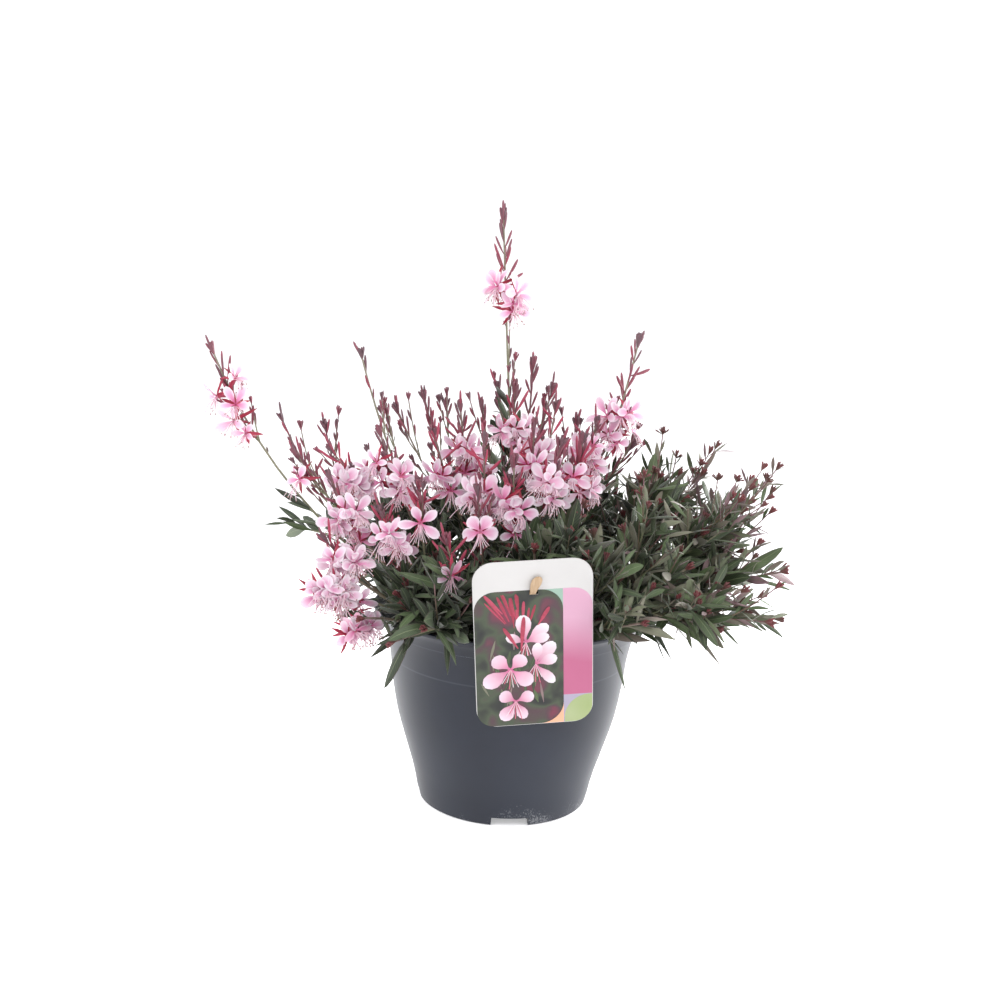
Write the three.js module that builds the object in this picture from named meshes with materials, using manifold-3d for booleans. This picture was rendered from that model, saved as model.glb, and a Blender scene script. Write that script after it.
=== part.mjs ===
// A gaura in bud and flower, growing in a squat injection-moulded nursery pot with a plant label.
// Millimetres, +Z up, origin in the middle of the pot's underside. The label hangs on the -Y side.
//
// The plant is one crown of thin stems that stand in holes in the potting soil. A flower wand is a
// wiry stem whose spikes end in slender buds. A leafy stem carries the foliage. The open flowers of a
// spike sit beside it as one cluster: four spoon-shaped petals that sweep upwards, and stamens that
// hang below.
import * as THREE from 'three';
import { mergeVertices } from 'three/addons/utils/BufferGeometryUtils.js';
import Module from 'manifold-3d';

const wasm = await Module();
wasm.setup();

// Pot, 19 cm across its lip
const POT_HEIGHT = 138;
const LIP_R = 95;
const LIP_LOW_R = 88.4;
const LIP_LOW_Z = 125;
const FOOT_R = 58.5;
const WALL = 2;
const MIDDLE_R = 28;
const CHANNEL_UNDER = 5;
const FLOOR_THICK = 2.4;
const POT_SIDES = 24;
// The wall swells from a narrow foot to a nearly upright shoulder: radius, height.
const WALL_OUTLINE = [[61.4, 8], [71.3, 45], [77, 65], [82.6, 105], [87, LIP_LOW_Z]];
const FOOT_NOTCHES = 4;
const NOTCH_WIDTH = 25;
const NOTCH_HEIGHT = 6;
const NOTCH_BEARING = 276;
const DRAIN_R = 5;
const DRAIN_AT_R = 44;

// Potting soil
const SOIL_R = 84;
const SOIL_EDGE_Z = 121;
const SOIL_TOP_Z = 126;
const SOIL_SIDES = 18;
const SOIL_GAP = 1.3;
const FIT_GAP = 0.5;
const STEM_DEPTH = 14;

// Plant label: a thin card that leans on the pot's lip, held by a pick that stands in the soil
const CARD_WIDTH = 74;
const CARD_HEIGHT = 116;
const CARD_CORNER_R = 13;
const CARD_THICK = 0.8;
const CARD_LEAN = 16.5;
const CARD_TURN = 7;
const CARD_X = 13;
const CARD_Z = 140;
const SLOT = { x: 5, y: 33, width: 6.4, height: 8 };
const PICK_WIDTH = 4.6;
const PICK_HEAD_WIDTH = 7.4;
const PICK_HEAD_LENGTH = 11;
const PICK_THICK = 1.4;
const PICK_POINT = 10;
const PICK_FOOT = { y: -60, z: 98 };

// Stems, leaves, buds and flowers
const WAND_R = [1.25, 0.7];
const LEAFY_R = [1.5, 0.8];
const FORK_SHRINK = 0.8;
const FORK_BOW = 0.04;
const STEM_ERROR = 0.5;
const LEAF_LENGTH = 36;
const LEAF_HALF_WIDTH = 4.2;
const LEAF_KEEL = 0.8;
const ROOT_R = 0.25;
const SMALL_LEAF = 0.9;
// [leaves, from this share of the stem, to this share] on a main stem and on a fork
const LEAVES = [[7, 0.22, 1], [4, 0.2, 1]];
const LEAF_TRIES = 12;
// Buds of a spike, over this share of its length
const BUDS = 3;
const BUD_TRIES = 5;
const BUD_STRETCH = 0.16;
const BUD_LENGTH = 11;
const BUD_R = 1.15;
const PETAL_LENGTH = 14;
const PETAL_HALF_WIDTH = 4.1;
const PETAL_KEEL = 1.6;
const PETAL_CUP = 0.22;
const PETAL_SPREAD = 60;
const THROAT_R = 2.4;
const THROAT_RISE = 0.5;
const TUBE_LENGTH = 10;
const TUBE_R = 1.2;
const STAMEN_LENGTH = 12;
const PETAL_BEARINGS = [-90, -30, 30, 90];
const CLEARANCE = 0.35;
const SMOOTHED = 0.02;
const HOLD_VOLUME = 0.25;
const FLOWER_TRIES = 60;
const FLOWER_SHIFT = 0.05;
const GOLDEN_ANGLE = 137.5;

// Flower wands: where each stands in the soil, and its spikes. The first spike is the main stem, and
// the others fork from it at a share of its length. tip: where the spike's buds end. bow: how far the
// stem swings out before it rises. flowers: [share of the spike, bearing that the flower faces].
// Bearings are anticlockwise from +X, so 270 faces the label's side.
const WANDS = [
  { foot: [6, 8], spikes: [{ tip: [-17, 20, 402], flowers: [[0.82, 235], [0.8, 310], [0.77, 270]] }] },
  { foot: [-30, -5], spikes: [
    { tip: [-206, -12, 306], bow: 0.2, flowers: [[0.86, 200], [0.84, 300], [0.81, 250]] }] },
  { foot: [22, 8], spikes: [
    { tip: [79, 20, 322], bow: 0.1, flowers: [[0.75, 225], [0.77, 300], [0.73, 340], [0.7, 260]] }] },
  { foot: [27, -2], spikes: [{ tip: [52, -2, 268], flowers: [[0.84, 225], [0.8, 300], [0.76, 265]] }] },
  { foot: [10, -20], spikes: [
    { tip: [10, -38, 270], flowers: [[0.8, 250], [0.77, 300]] },
    { from: 0.35, tip: [24, -4, 278], flowers: [[0.66, 250], [0.62, 305]] }] },
  { foot: [2, -36], spikes: [
    { tip: [-2, -60, 248], bow: 0.06, flowers: [[0.79, 235], [0.76, 275], [0.71, 305]] },
    { from: 0.3, tip: [28, -46, 260], flowers: [[0.68, 255], [0.62, 300]] }] },
  { foot: [-10, -38], spikes: [
    { tip: [-24, -74, 230], bow: 0.1, flowers: [[0.79, 272]] },
    { from: 0.35, tip: [-22, -48, 260], flowers: [[0.64, 235], [0.6, 285]] }] },
  { foot: [-18, -6], spikes: [
    { tip: [-40, -4, 274], flowers: [[0.8, 240], [0.77, 290], [0.74, 320]] },
    { from: 0.3, tip: [-56, -28, 260], flowers: [[0.7, 240], [0.64, 290]] }] },
  { foot: [-3, -2], spikes: [
    { tip: [-4, 10, 288], flowers: [[0.8, 225], [0.76, 275], [0.78, 320]] },
    { from: 0.3, tip: [-26, 4, 276] }] },
  { foot: [-24, -20], spikes: [
    { tip: [-90, -40, 260], bow: 0.1, flowers: [[0.8, 215], [0.77, 262], [0.74, 305]] },
    { from: 0.4, tip: [-122, -34, 246], flowers: [[0.76, 240], [0.7, 290]] }] },
  { foot: [-32, -26], spikes: [
    { tip: [-120, -56, 232], bow: 0.14, flowers: [[0.8, 230], [0.77, 272], [0.74, 305]] },
    { from: 0.5, tip: [-146, -30, 242], flowers: [[0.8, 225]] }] },
  { foot: [-28, -38], spikes: [
    { tip: [-86, -66, 214], bow: 0.1, flowers: [[0.82, 240], [0.78, 290]] },
    { from: 0.4, tip: [-62, -68, 232], flowers: [[0.66, 272]] }] },
  { foot: [-38, -40], spikes: [
    { tip: [-123, -80, 166], bow: -0.1, flowers: [[0.86, 280], [0.81, 300], [0.76, 275], [0.91, 260]] },
    { from: 0.4, tip: [-120, -70, 194], flowers: [[0.78, 250], [0.7, 285], [0.64, 310]] }] },
  { foot: [-16, -50], spikes: [{ tip: [-42, -92, 202], bow: 0.06, flowers: [[0.74, 262]] }] },
  { foot: [26, -18], spikes: [{ tip: [42, -38, 262], flowers: [[0.8, 240], [0.77, 295]] }] },
  { foot: [-28, 18], spikes: [{ tip: [-112, 30, 304], bow: 0.12 }, { from: 0.45, tip: [-96, 42, 266] }] },
  { foot: [-38, 6], spikes: [{ tip: [-164, 16, 258], bow: 0.18 }, { from: 0.5, tip: [-130, -12, 258] }] },
  { foot: [-14, 20], spikes: [
    { tip: [-67, 30, 276], bow: 0.06 }, { from: 0.5, tip: [-52, 38, 270] },
    { from: 0.4, tip: [-84, 8, 270] }] },
  { foot: [2, 24], spikes: [
    { tip: [8, 34, 302] }, { from: 0.5, tip: [-16, 26, 286] }, { from: 0.55, tip: [22, 42, 284] }] },
  { foot: [18, 24], spikes: [
    { tip: [62, 30, 266] }, { from: 0.5, tip: [40, 34, 262] }, { from: 0.5, tip: [80, 34, 248] }] },
];

// Leafy stems of the foliage mound, in the same words.
const LEAFY_STEMS = [
  { foot: [44, -10], spikes: [
    { tip: [182, -22, 176], bow: -0.1 }, { from: 0.36, tip: [128, -56, 152] },
    { from: 0.5, tip: [146, 10, 184] }] },
  { foot: [40, 6], spikes: [
    { tip: [160, 0, 218], bow: 0.1 }, { from: 0.4, tip: [126, -24, 200] },
    { from: 0.5, tip: [150, 36, 204] }] },
  { foot: [36, 24], spikes: [
    { tip: [114, 28, 230], bow: 0.06 }, { from: 0.35, tip: [98, 4, 232] },
    { from: 0.45, tip: [124, 66, 205] }] },
  { foot: [38, -26], spikes: [
    { tip: [112, -66, 186], bow: 0.02 }, { from: 0.5, tip: [134, -64, 146], bow: -0.1 },
    { from: 0.45, tip: [84, -60, 212] }] },
  { foot: [28, -44], spikes: [{ tip: [82, -100, 158], bow: -0.05 }, { from: 0.35, tip: [58, -84, 194] }] },
  { foot: [14, -46], spikes: [
    { tip: [14, -78, 196], bow: 0.08 }, { from: 0.4, tip: [38, -74, 202] },
    { from: 0.4, tip: [-8, -74, 184] }] },
  { foot: [-30, -54], spikes: [{ tip: [-52, -106, 150], bow: -0.15 }, { from: 0.4, tip: [-30, -84, 172] }] },
  { foot: [-46, -50], spikes: [{ tip: [-92, -98, 152], bow: -0.24 }, { from: 0.4, tip: [-66, -84, 170] }] },
  { foot: [-48, -12], spikes: [{ tip: [-120, -30, 172], bow: 0.1 }, { from: 0.4, tip: [-86, -10, 196] }] },
  { foot: [-38, 28], spikes: [{ tip: [-104, 64, 188], bow: 0.08 }, { from: 0.4, tip: [-72, 92, 172] }] },
  { foot: [-4, 44], spikes: [
    { tip: [-14, 116, 190], bow: 0.08 }, { from: 0.4, tip: [32, 112, 176] },
    { from: 0.5, tip: [-6, 76, 222] }] },
  { foot: [26, 42], spikes: [{ tip: [84, 96, 194], bow: 0.08 }, { from: 0.4, tip: [56, 58, 228] }] },
];

const radians = THREE.MathUtils.degToRad;
const UP = new THREE.Vector3(0, 0, 1);

// A repeatable draw from 0 to 1 for a list of whole-number keys.
function draw(...keys) {
  let state = 20231;
  for (const key of keys) {
    state = (Math.imul(state ^ key, 0x9e3779b1) + 0x3c6ef35f) >>> 0;
    state = (state ^ (state >>> 15)) >>> 0;
  }
  return state / 4294967296;
}

const between = (low, high, ...keys) => low + (high - low) * draw(...keys);

// A closed geometry as a solid, with its shared corners merged.
function solidFrom(geometry) {
  const bare = new THREE.BufferGeometry().setAttribute('position', geometry.getAttribute('position'));
  if (geometry.index) bare.setIndex(geometry.index);
  const merged = mergeVertices(bare, 1e-4);
  const corners = merged.index.array;
  const kept = [];
  for (let i = 0; i < corners.length; i += 3) {
    const [a, b, c] = corners.slice(i, i + 3);
    if (a !== b && b !== c && c !== a) kept.push(a, b, c);
  }
  const solidOf = (triangles) => new wasm.Manifold(new wasm.Mesh({
    numProp: 3,
    vertProperties: merged.attributes.position.array,
    triVerts: new Uint32Array(triangles),
  }));
  const solid = solidOf(kept);
  return solid.volume() > 0 ? solid : solidOf(kept.toReversed());
}

function geometryFrom(solid) {
  const mesh = solid.getMesh();
  return new THREE.BufferGeometry()
    .setAttribute('position', new THREE.BufferAttribute(mesh.vertProperties, 3))
    .setIndex(new THREE.BufferAttribute(mesh.triVerts, 1));
}

// A body of revolution about +Z from [radius, height] pairs that start and end on the axis.
function turned(outline, sides) {
  const points = outline.map(([r, z]) => new THREE.Vector2(r, z));
  return solidFrom(new THREE.LatheGeometry(points, sides).rotateX(Math.PI / 2));
}

// A closed skin over rings of points, each ring as long as the next, or one point where it comes to an end.
function lofted(rings) {
  const positions = [];
  const starts = [];
  for (const ring of rings) {
    starts.push(positions.length / 3);
    for (const p of ring) positions.push(p.x, p.y, p.z);
  }
  const faces = [];
  for (let i = 0; i + 1 < rings.length; i++) {
    const [near, far] = [rings[i].length, rings[i + 1].length];
    const sides = Math.max(near, far);
    for (let k = 0; k < sides; k++) {
      const a = starts[i] + (k % near);
      const b = starts[i] + ((k + 1) % near);
      const c = starts[i + 1] + (k % far);
      const d = starts[i + 1] + ((k + 1) % far);
      if (near > 1) faces.push(a, b, d);
      if (far > 1) faces.push(a, d, c);
    }
  }
  const last = rings.length - 1;
  for (let k = 1; k + 1 < rings[0].length; k++) faces.push(starts[0], starts[0] + k + 1, starts[0] + k);
  for (let k = 1; k + 1 < rings[last].length; k++) {
    faces.push(starts[last], starts[last] + k, starts[last] + k + 1);
  }
  const geometry = new THREE.BufferGeometry()
    .setAttribute('position', new THREE.Float32BufferAttribute(positions, 3))
    .setIndex(faces);
  return solidFrom(geometry);
}

// A ring of points round a centre, in the plane of two unit directions.
function ringOf(centre, across, over, radius, sides) {
  return Array.from({ length: sides }, (_, k) => {
    const angle = (2 * Math.PI * k) / sides;
    return centre.clone()
      .addScaledVector(across, radius * Math.cos(angle))
      .addScaledVector(over, radius * Math.sin(angle));
  });
}

const compass = (bearing) => new THREE.Vector3(Math.cos(radians(bearing)), Math.sin(radians(bearing)), 0);

// The height of the soil at a distance from the pot's axis.
const soilHeight = (r) => SOIL_TOP_Z - (SOIL_TOP_Z - SOIL_EDGE_Z) * (r / SOIL_R) ** 2;

// A stem's centreline: from its start it swings outwards by its bow and rises to its tip.
class Stem {
  constructor(start, { tip, bow = FORK_BOW, flowers = [] }, [thick, thin]) {
    const end = new THREE.Vector3(...tip);
    const reach = end.clone().sub(start);
    const bend = start.clone().add(new THREE.Vector3(
      reach.x * (0.5 + bow), reach.y * (0.5 + bow), reach.z * (0.5 - bow)));
    this.curve = new THREE.QuadraticBezierCurve3(start, bend, end);
    // Enough straight runs to stay within a hair of the curve
    this.steps = Math.max(2, Math.ceil(Math.sqrt((Math.abs(bow) * reach.length()) / (2 * STEM_ERROR))));
    this.flowers = flowers;
    this.thick = thick;
    this.thin = thin;
  }

  at(t) {
    return this.curve.getPoint(t);
  }

  // A point on the axis of the straight runs, where leaves, buds and flowers are seated.
  seat(t) {
    const run = Math.min(Math.floor(t * this.steps), this.steps - 1);
    return this.at(run / this.steps).lerp(this.at((run + 1) / this.steps), t * this.steps - run);
  }

  along(t) {
    return this.curve.getTangent(t);
  }

  radius(t) {
    return this.thick + (this.thin - this.thick) * t;
  }

  // The direction square to the stem that faces a bearing.
  facing(t, bearing) {
    const along = this.along(t);
    const out = compass(bearing);
    return out.addScaledVector(along, -out.dot(along)).normalize();
  }

  // The stem itself, run down into its hole in the soil by depth, or started on its parent's axis.
  solid(depth) {
    const rings = [];
    const ring = (t, centre) => {
      const across = this.facing(t, 90);
      const over = this.along(t).cross(across);
      return ringOf(centre, across, over, this.radius(t), 3);
    };
    if (depth > 0) rings.push(ring(0, this.at(0).addScaledVector(UP, -depth)));
    for (let i = 0; i <= this.steps; i++) rings.push(ring(i / this.steps, this.at(i / this.steps)));
    return lofted(rings);
  }

  // What is taken out of the soil so that the stem stands clear in it.
  hole() {
    const along = this.along(0);
    const across = this.facing(0, 90);
    const over = along.clone().cross(across);
    const radius = this.thick + 4 * FIT_GAP;
    const places = [
      this.at(0).addScaledVector(UP, -STEM_DEPTH - 3 * FIT_GAP), this.at(0),
      this.at(0).addScaledVector(along, STEM_DEPTH)];
    return lofted(places.map((place) => ringOf(place, across, over, radius, 3)));
  }
}

// A blade from a point inside its stem to its tip: a flat upper side and a keel below. sections are
// [share of the length, share of the half width]; droop bends the tip down by that share of the length.
function blade({ from, heading, side, length, halfWidth, keel, droop, sections }) {
  const centre = (s) => from.clone()
    .addScaledVector(heading, length * s)
    .addScaledVector(UP, -droop * length * s * s);
  const section = (s, half, depth) => {
    const run = heading.clone().addScaledVector(UP, -2 * droop * s).normalize();
    const under = run.cross(side).normalize();
    return [
      centre(s).addScaledVector(side, half),
      centre(s).addScaledVector(side, -half),
      centre(s).addScaledVector(under, depth),
    ];
  };
  const rings = sections.map(([s, share]) => section(s, halfWidth * share, keel));
  rings.unshift(section(0, ROOT_R, ROOT_R));
  rings.push([centre(1)]);
  return lofted(rings);
}

const LEAF_SECTIONS = [[0.32, 1], [0.7, 0.8]];
const SMALL_LEAF_SECTIONS = [[0.48, 1.1]];

// A slim three-sided bud on its stalk.
function spindle(from, heading, side, length, radius) {
  const over = heading.clone().cross(side);
  const at = (s) => from.clone().addScaledVector(heading, length * s);
  return lofted([ringOf(from, side, over, ROOT_R, 3), ringOf(at(0.55), side, over, radius, 3), [at(1)]]);
}

// A leaf, bud or flower of a stem at a share of its length. Its key and the number of the try settle
// which way it points.
function leafOn(stem, t, key, attempt, scale) {
  const bearing = key * GOLDEN_ANGLE + attempt * 31 + between(-15, 15, key, attempt, 1);
  const lean = radians(between(42, 72, key, attempt, 2));
  const side = stem.along(t).cross(stem.facing(t, bearing)).normalize();
  const heading = stem.along(t).multiplyScalar(Math.cos(lean))
    .addScaledVector(stem.facing(t, bearing), Math.sin(lean)).normalize();
  const size = scale * between(0.72, 1.18, key, attempt, 3);
  return blade({
    from: stem.seat(t), heading, side,
    length: LEAF_LENGTH * size,
    halfWidth: LEAF_HALF_WIDTH * size,
    keel: LEAF_KEEL,
    droop: between(0.1, 0.42, key, attempt, 4),
    sections: scale > SMALL_LEAF ? LEAF_SECTIONS : SMALL_LEAF_SECTIONS,
  });
}

function budOn(stem, t, key, attempt) {
  const bearing = key * GOLDEN_ANGLE + attempt * 47 + between(-20, 20, key, attempt, 5);
  // Buds are closed up against the tip of the spike and stand away from it lower down.
  const lean = radians(14 + 90 * (1 - t) + between(-5, 8, key, attempt, 6));
  const side = stem.along(t).cross(stem.facing(t, bearing)).normalize();
  const heading = stem.along(t).multiplyScalar(Math.cos(lean))
    .addScaledVector(stem.facing(t, bearing), Math.sin(lean)).normalize();
  return spindle(stem.seat(t), heading, side, BUD_LENGTH * between(0.8, 1.15, key, attempt, 7), BUD_R);
}

// The four petals and the throat between them: an outline raised to a low point in front and another
// behind, so that the petals are thick at the throat and thin at their rims.
function corolla(heart, face, top, size, roll) {
  const right = face.clone().cross(top);
  const rim = [];
  const point = (angle, along, beside) => {
    const turn = radians(angle + roll);
    const out = top.clone().multiplyScalar(Math.cos(turn)).addScaledVector(right, Math.sin(turn));
    rim.push(heart.clone()
      .addScaledVector(out, along * size)
      .addScaledVector(face.clone().cross(out), beside * size)
      .addScaledVector(face, PETAL_CUP * along * size));
  };
  for (const angle of PETAL_BEARINGS) {
    point(angle - PETAL_SPREAD / 2, THROAT_R, 0);
    point(angle, PETAL_LENGTH * 0.66, -PETAL_HALF_WIDTH);
    point(angle, PETAL_LENGTH, 0);
    point(angle, PETAL_LENGTH * 0.66, PETAL_HALF_WIDTH);
  }
  point(PETAL_BEARINGS.at(-1) + PETAL_SPREAD / 2, THROAT_R, 0);
  point(180, THROAT_R * 0.9, 0);
  const front = heart.clone().addScaledVector(face, THROAT_RISE);
  const back = heart.clone().addScaledVector(face, -PETAL_KEEL);
  return lofted([[back], rim, [front]]);
}

// One open flower: its tube starts just off the stem, and its face looks out and a little up.
function flowerOn(stem, t, bearing, key, attempt) {
  const turn = bearing + (attempt ? between(-26, 26, key, attempt, 8) : 0);
  const out = stem.facing(t, turn);
  const size = between(0.92, 1.08, key, attempt, 9);
  const rise = radians(between(18, 40, key, attempt, 10));
  const heading = out.clone().multiplyScalar(Math.cos(rise))
    .addScaledVector(stem.along(t), Math.sin(rise)).normalize();
  const base = stem.seat(t).addScaledVector(out, stem.radius(t) + FIT_GAP + 0.1);
  const heart = base.clone().addScaledVector(heading, TUBE_LENGTH * size);
  const face = out.clone().addScaledVector(UP, between(0.05, 0.4, key, attempt, 11)).normalize();
  const top = UP.clone().addScaledVector(face, -face.z).normalize();
  const right = face.clone().cross(top);
  // The tube enters the throat below its middle, and the stamens hang out of it there.
  const mouth = heart.clone().addScaledVector(top, -THROAT_R / 2);
  const stamens = mouth.clone()
    .addScaledVector(face, STAMEN_LENGTH * size * 0.5).addScaledVector(top, -STAMEN_LENGTH * size * 0.85);
  const tube = lofted([
    ringOf(base, right, UP, TUBE_R, 3),
    ringOf(mouth, right, top, TUBE_R * 0.75, 3),
    [stamens],
  ]);
  return tube.add(corolla(heart, face, top, size, between(-14, 14, key, attempt, 12)));
}

// Every solid made so far, by node, with its box, so that a new piece can be kept clear of the others.
const standing = [];

function overlapping(a, b) {
  return [0, 1, 2].every((i) => a.min[i] < b.max[i] + CLEARANCE && b.min[i] < a.max[i] + CLEARANCE);
}

// A piece may run into its own node, but leaves don't cross each other.
function isClear(node, solid, isLeaf = false) {
  const box = solid.boundingBox();
  return standing.every((other) => {
    const crossing = other.node === node ? isLeaf && other.isLeaf : true;
    return !crossing || !overlapping(box, other.box) || solid.minGap(other.solid, 2 * CLEARANCE) > CLEARANCE;
  });
}

const pieces = new Map();

function add(node, solid, isLeaf = false) {
  if (!pieces.has(node)) pieces.set(node, []);
  pieces.get(node).push(solid);
  standing.push({ node, solid, isLeaf, box: solid.boundingBox() });
}

// Adds the first try of a piece that stands clear of every other node.
function addClear(node, tries, make, isLeaf = false) {
  for (let attempt = 0; attempt < tries; attempt++) {
    const solid = make(attempt);
    if (isClear(node, solid, isLeaf)) {
      add(node, solid, isLeaf);
      return;
    }
  }
}

// Adds the try that cuts least, but surely, into what its node holds so far.
function addHeld(node, tries, make) {
  let best;
  for (let attempt = 0; attempt < tries; attempt++) {
    const solid = make(attempt);
    if (!isClear(node, solid)) continue;
    const shared = Math.max(...pieces.get(node).map((other) => other.intersect(solid).volume()));
    if (shared > HOLD_VOLUME && !(shared >= best?.shared)) best = { shared, solid };
  }
  if (best) add(node, best.solid);
}

function buildPot() {
  const inner = WALL_OUTLINE.map(([r, z]) => [r - WALL, z]).reverse().slice(0, -1);
  const shell = turned([
    [0, 0], [MIDDLE_R, 0], [MIDDLE_R + 2, CHANNEL_UNDER], [FOOT_R - 5, CHANNEL_UNDER], [FOOT_R - 4, 0],
    [FOOT_R, 0], ...WALL_OUTLINE,
    [LIP_LOW_R, LIP_LOW_Z + 0.4], [LIP_LOW_R + 2, LIP_LOW_Z + 6], [LIP_R, POT_HEIGHT - 2.5],
    [LIP_R, POT_HEIGHT], [LIP_R - 2.4, POT_HEIGHT],
    ...inner,
    [FOOT_R, CHANNEL_UNDER + FLOOR_THICK], [MIDDLE_R + 1, CHANNEL_UNDER + FLOOR_THICK],
    [MIDDLE_R - 1, FLOOR_THICK], [0, FLOOR_THICK],
  ], POT_SIDES);
  const cuts = [];
  for (let i = 0; i < FOOT_NOTCHES; i++) {
    const bearing = NOTCH_BEARING + (360 / FOOT_NOTCHES) * i;
    const at = compass(bearing);
    const notch = new THREE.BoxGeometry(14, NOTCH_WIDTH, 2 * NOTCH_HEIGHT)
      .rotateZ(radians(bearing)).translate(at.x * FOOT_R, at.y * FOOT_R, 0);
    const drain = new THREE.CylinderGeometry(DRAIN_R, DRAIN_R, 8, 6)
      .rotateX(Math.PI / 2).translate(at.x * DRAIN_AT_R, at.y * DRAIN_AT_R, CHANNEL_UNDER + 1);
    cuts.push(solidFrom(notch), solidFrom(drain));
  }
  return shell.subtract(wasm.Manifold.union(cuts));
}

function buildSoil(holes) {
  const gap = WALL + SOIL_GAP;
  const flank = WALL_OUTLINE.slice(1, -1).map(([r, z]) => [r - gap, z]);
  const crown = [50, 0].map((r) => [r, soilHeight(r)]);
  const floor = FLOOR_THICK + FIT_GAP;
  const filling = turned([
    [0, floor], [MIDDLE_R - 1.5, floor], [MIDDLE_R + 0.5, CHANNEL_UNDER + floor],
    [FOOT_R - 0.6, CHANNEL_UNDER + floor], ...flank,
    [LIP_LOW_R - gap - 2.4, SOIL_EDGE_Z], ...crown,
  ], SOIL_SIDES);
  return filling.subtract(wasm.Manifold.union(holes));
}

// The card's own frame: x across it, y up it, z out of its printed face.
const cardFrame = new THREE.Matrix4()
  .makeTranslation(CARD_X, 0, CARD_Z)
  .multiply(new THREE.Matrix4().makeRotationX(Math.PI / 2 + radians(CARD_LEAN)))
  .premultiply(new THREE.Matrix4().makeTranslation(0, -LIP_R - 1.5, 0));
const printTurn = new THREE.Matrix4().makeRotationZ(radians(CARD_TURN));

function roundedCard() {
  const [w, h, r] = [CARD_WIDTH / 2, CARD_HEIGHT / 2, CARD_CORNER_R];
  const shape = new THREE.Shape();
  shape.moveTo(-w + r, -h);
  shape.lineTo(w - r, -h);
  shape.absarc(w - r, -h + r, r, -Math.PI / 2, 0);
  shape.absarc(w - r, h - r, r, 0, Math.PI / 2);
  shape.absarc(-w + r, h - r, r, Math.PI / 2, Math.PI);
  shape.absarc(-w + r, -h + r, r, Math.PI, 1.5 * Math.PI);
  return shape;
}

function buildCard() {
  const plate = new THREE.ExtrudeGeometry(
    roundedCard(), { depth: CARD_THICK, bevelEnabled: false, curveSegments: 4 });
  const slot = new THREE.BoxGeometry(SLOT.width, SLOT.height, 4).translate(SLOT.x, SLOT.y, 0);
  return solidFrom(plate.applyMatrix4(printTurn).applyMatrix4(cardFrame))
    .subtract(solidFrom(slot.applyMatrix4(cardFrame)));
}

// A side outline in the card's z and y, extruded to a width across the slot's middle.
function acrossSlot(outline, width) {
  const shape = new THREE.Shape(outline.map(([z, y]) => new THREE.Vector2(z, y)));
  const sideways = new THREE.Matrix4().makeBasis(
    new THREE.Vector3(0, 0, 1), new THREE.Vector3(0, 1, 0), new THREE.Vector3(-1, 0, 0));
  return new THREE.ExtrudeGeometry(shape, { depth: width, bevelEnabled: false })
    .applyMatrix4(sideways).translate(SLOT.x + width / 2, 0, 0);
}

const pickFoot = new THREE.Vector3(CARD_X + SLOT.x, PICK_FOOT.y, PICK_FOOT.z)
  .applyMatrix4(cardFrame.clone().invert());
const pickNeck = { z: -PICK_THICK - 1.2, y: SLOT.y - 3.6 };

// The pick stands in the soil behind the lip, hooks through the slot and turns up in front of the card.
function buildPick() {
  const front = CARD_THICK + FIT_GAP;
  const crown = SLOT.y + PICK_HEAD_LENGTH;
  const side = acrossSlot([
    [pickFoot.z, pickFoot.y], [pickNeck.z, pickNeck.y], [front, SLOT.y + 0.6], [front, crown],
    [front + PICK_THICK, crown], [front + PICK_THICK, SLOT.y - 0.4],
    [pickNeck.z + PICK_THICK, pickNeck.y - 1], [pickFoot.z + PICK_THICK, pickFoot.y],
  ], PICK_HEAD_WIDTH + 2);
  const half = PICK_WIDTH / 2;
  const head = PICK_HEAD_WIDTH / 2;
  const face = new THREE.Shape();
  face.moveTo(SLOT.x, pickFoot.y);
  face.lineTo(SLOT.x + half, pickFoot.y + PICK_POINT);
  face.lineTo(SLOT.x + half, SLOT.y + 2);
  face.absarc(SLOT.x, crown - head, head, 0, Math.PI);
  face.lineTo(SLOT.x - half, SLOT.y + 2);
  face.lineTo(SLOT.x - half, pickFoot.y + PICK_POINT);
  const reach = 2 * (Math.abs(pickFoot.z) + PICK_HEAD_LENGTH);
  const outline = new THREE.ExtrudeGeometry(face, { depth: reach, bevelEnabled: false, curveSegments: 4 })
    .translate(0, 0, -reach / 2);
  return solidFrom(geometryFrom(solidFrom(side).intersect(solidFrom(outline))).applyMatrix4(cardFrame));
}

// The pick's hole in the soil follows its leg, a little wider all round.
function pickHole() {
  const leg = acrossSlot([
    [pickFoot.z - FIT_GAP, pickFoot.y - FIT_GAP], [pickNeck.z - FIT_GAP, pickNeck.y],
    [pickNeck.z + PICK_THICK + FIT_GAP, pickNeck.y],
    [pickFoot.z + PICK_THICK + FIT_GAP, pickFoot.y - FIT_GAP],
  ], PICK_WIDTH + 2 * FIT_GAP);
  return solidFrom(leg.applyMatrix4(cardFrame));
}

const numbered = (word, i) => `${word}_${String(i + 1).padStart(2, '0')}`;

// A wand's or leafy stem's spikes, each fork started on the main stem's own axis.
function stemsOf({ foot: [x, y], spikes }, radii) {
  const [first, ...forks] = spikes;
  const main = new Stem(new THREE.Vector3(x, y, soilHeight(Math.hypot(x, y))), first, radii);
  const thinner = radii.map((r) => r * FORK_SHRINK);
  return [main, ...forks.map((fork) => new Stem(main.at(fork.from), fork, thinner))];
}

const plants = [
  ...WANDS.map((plan, i) => (
    { node: numbered('flower_wand', i), stems: stemsOf(plan, WAND_R), wand: true })),
  ...LEAFY_STEMS.map((plan, i) => (
    { node: numbered('leafy_stem', i), stems: stemsOf(plan, LEAFY_R), wand: false })),
];

add('pot', buildPot());
add('label_card', buildCard());
add('label_pick', buildPick());
add('soil', buildSoil([...plants.map(({ stems }) => stems[0].hole()), pickHole()]));

for (const { node, stems } of plants) {
  stems.forEach((stem, i) => add(node, stem.solid(i === 0 ? STEM_DEPTH : 0)));
}

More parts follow.
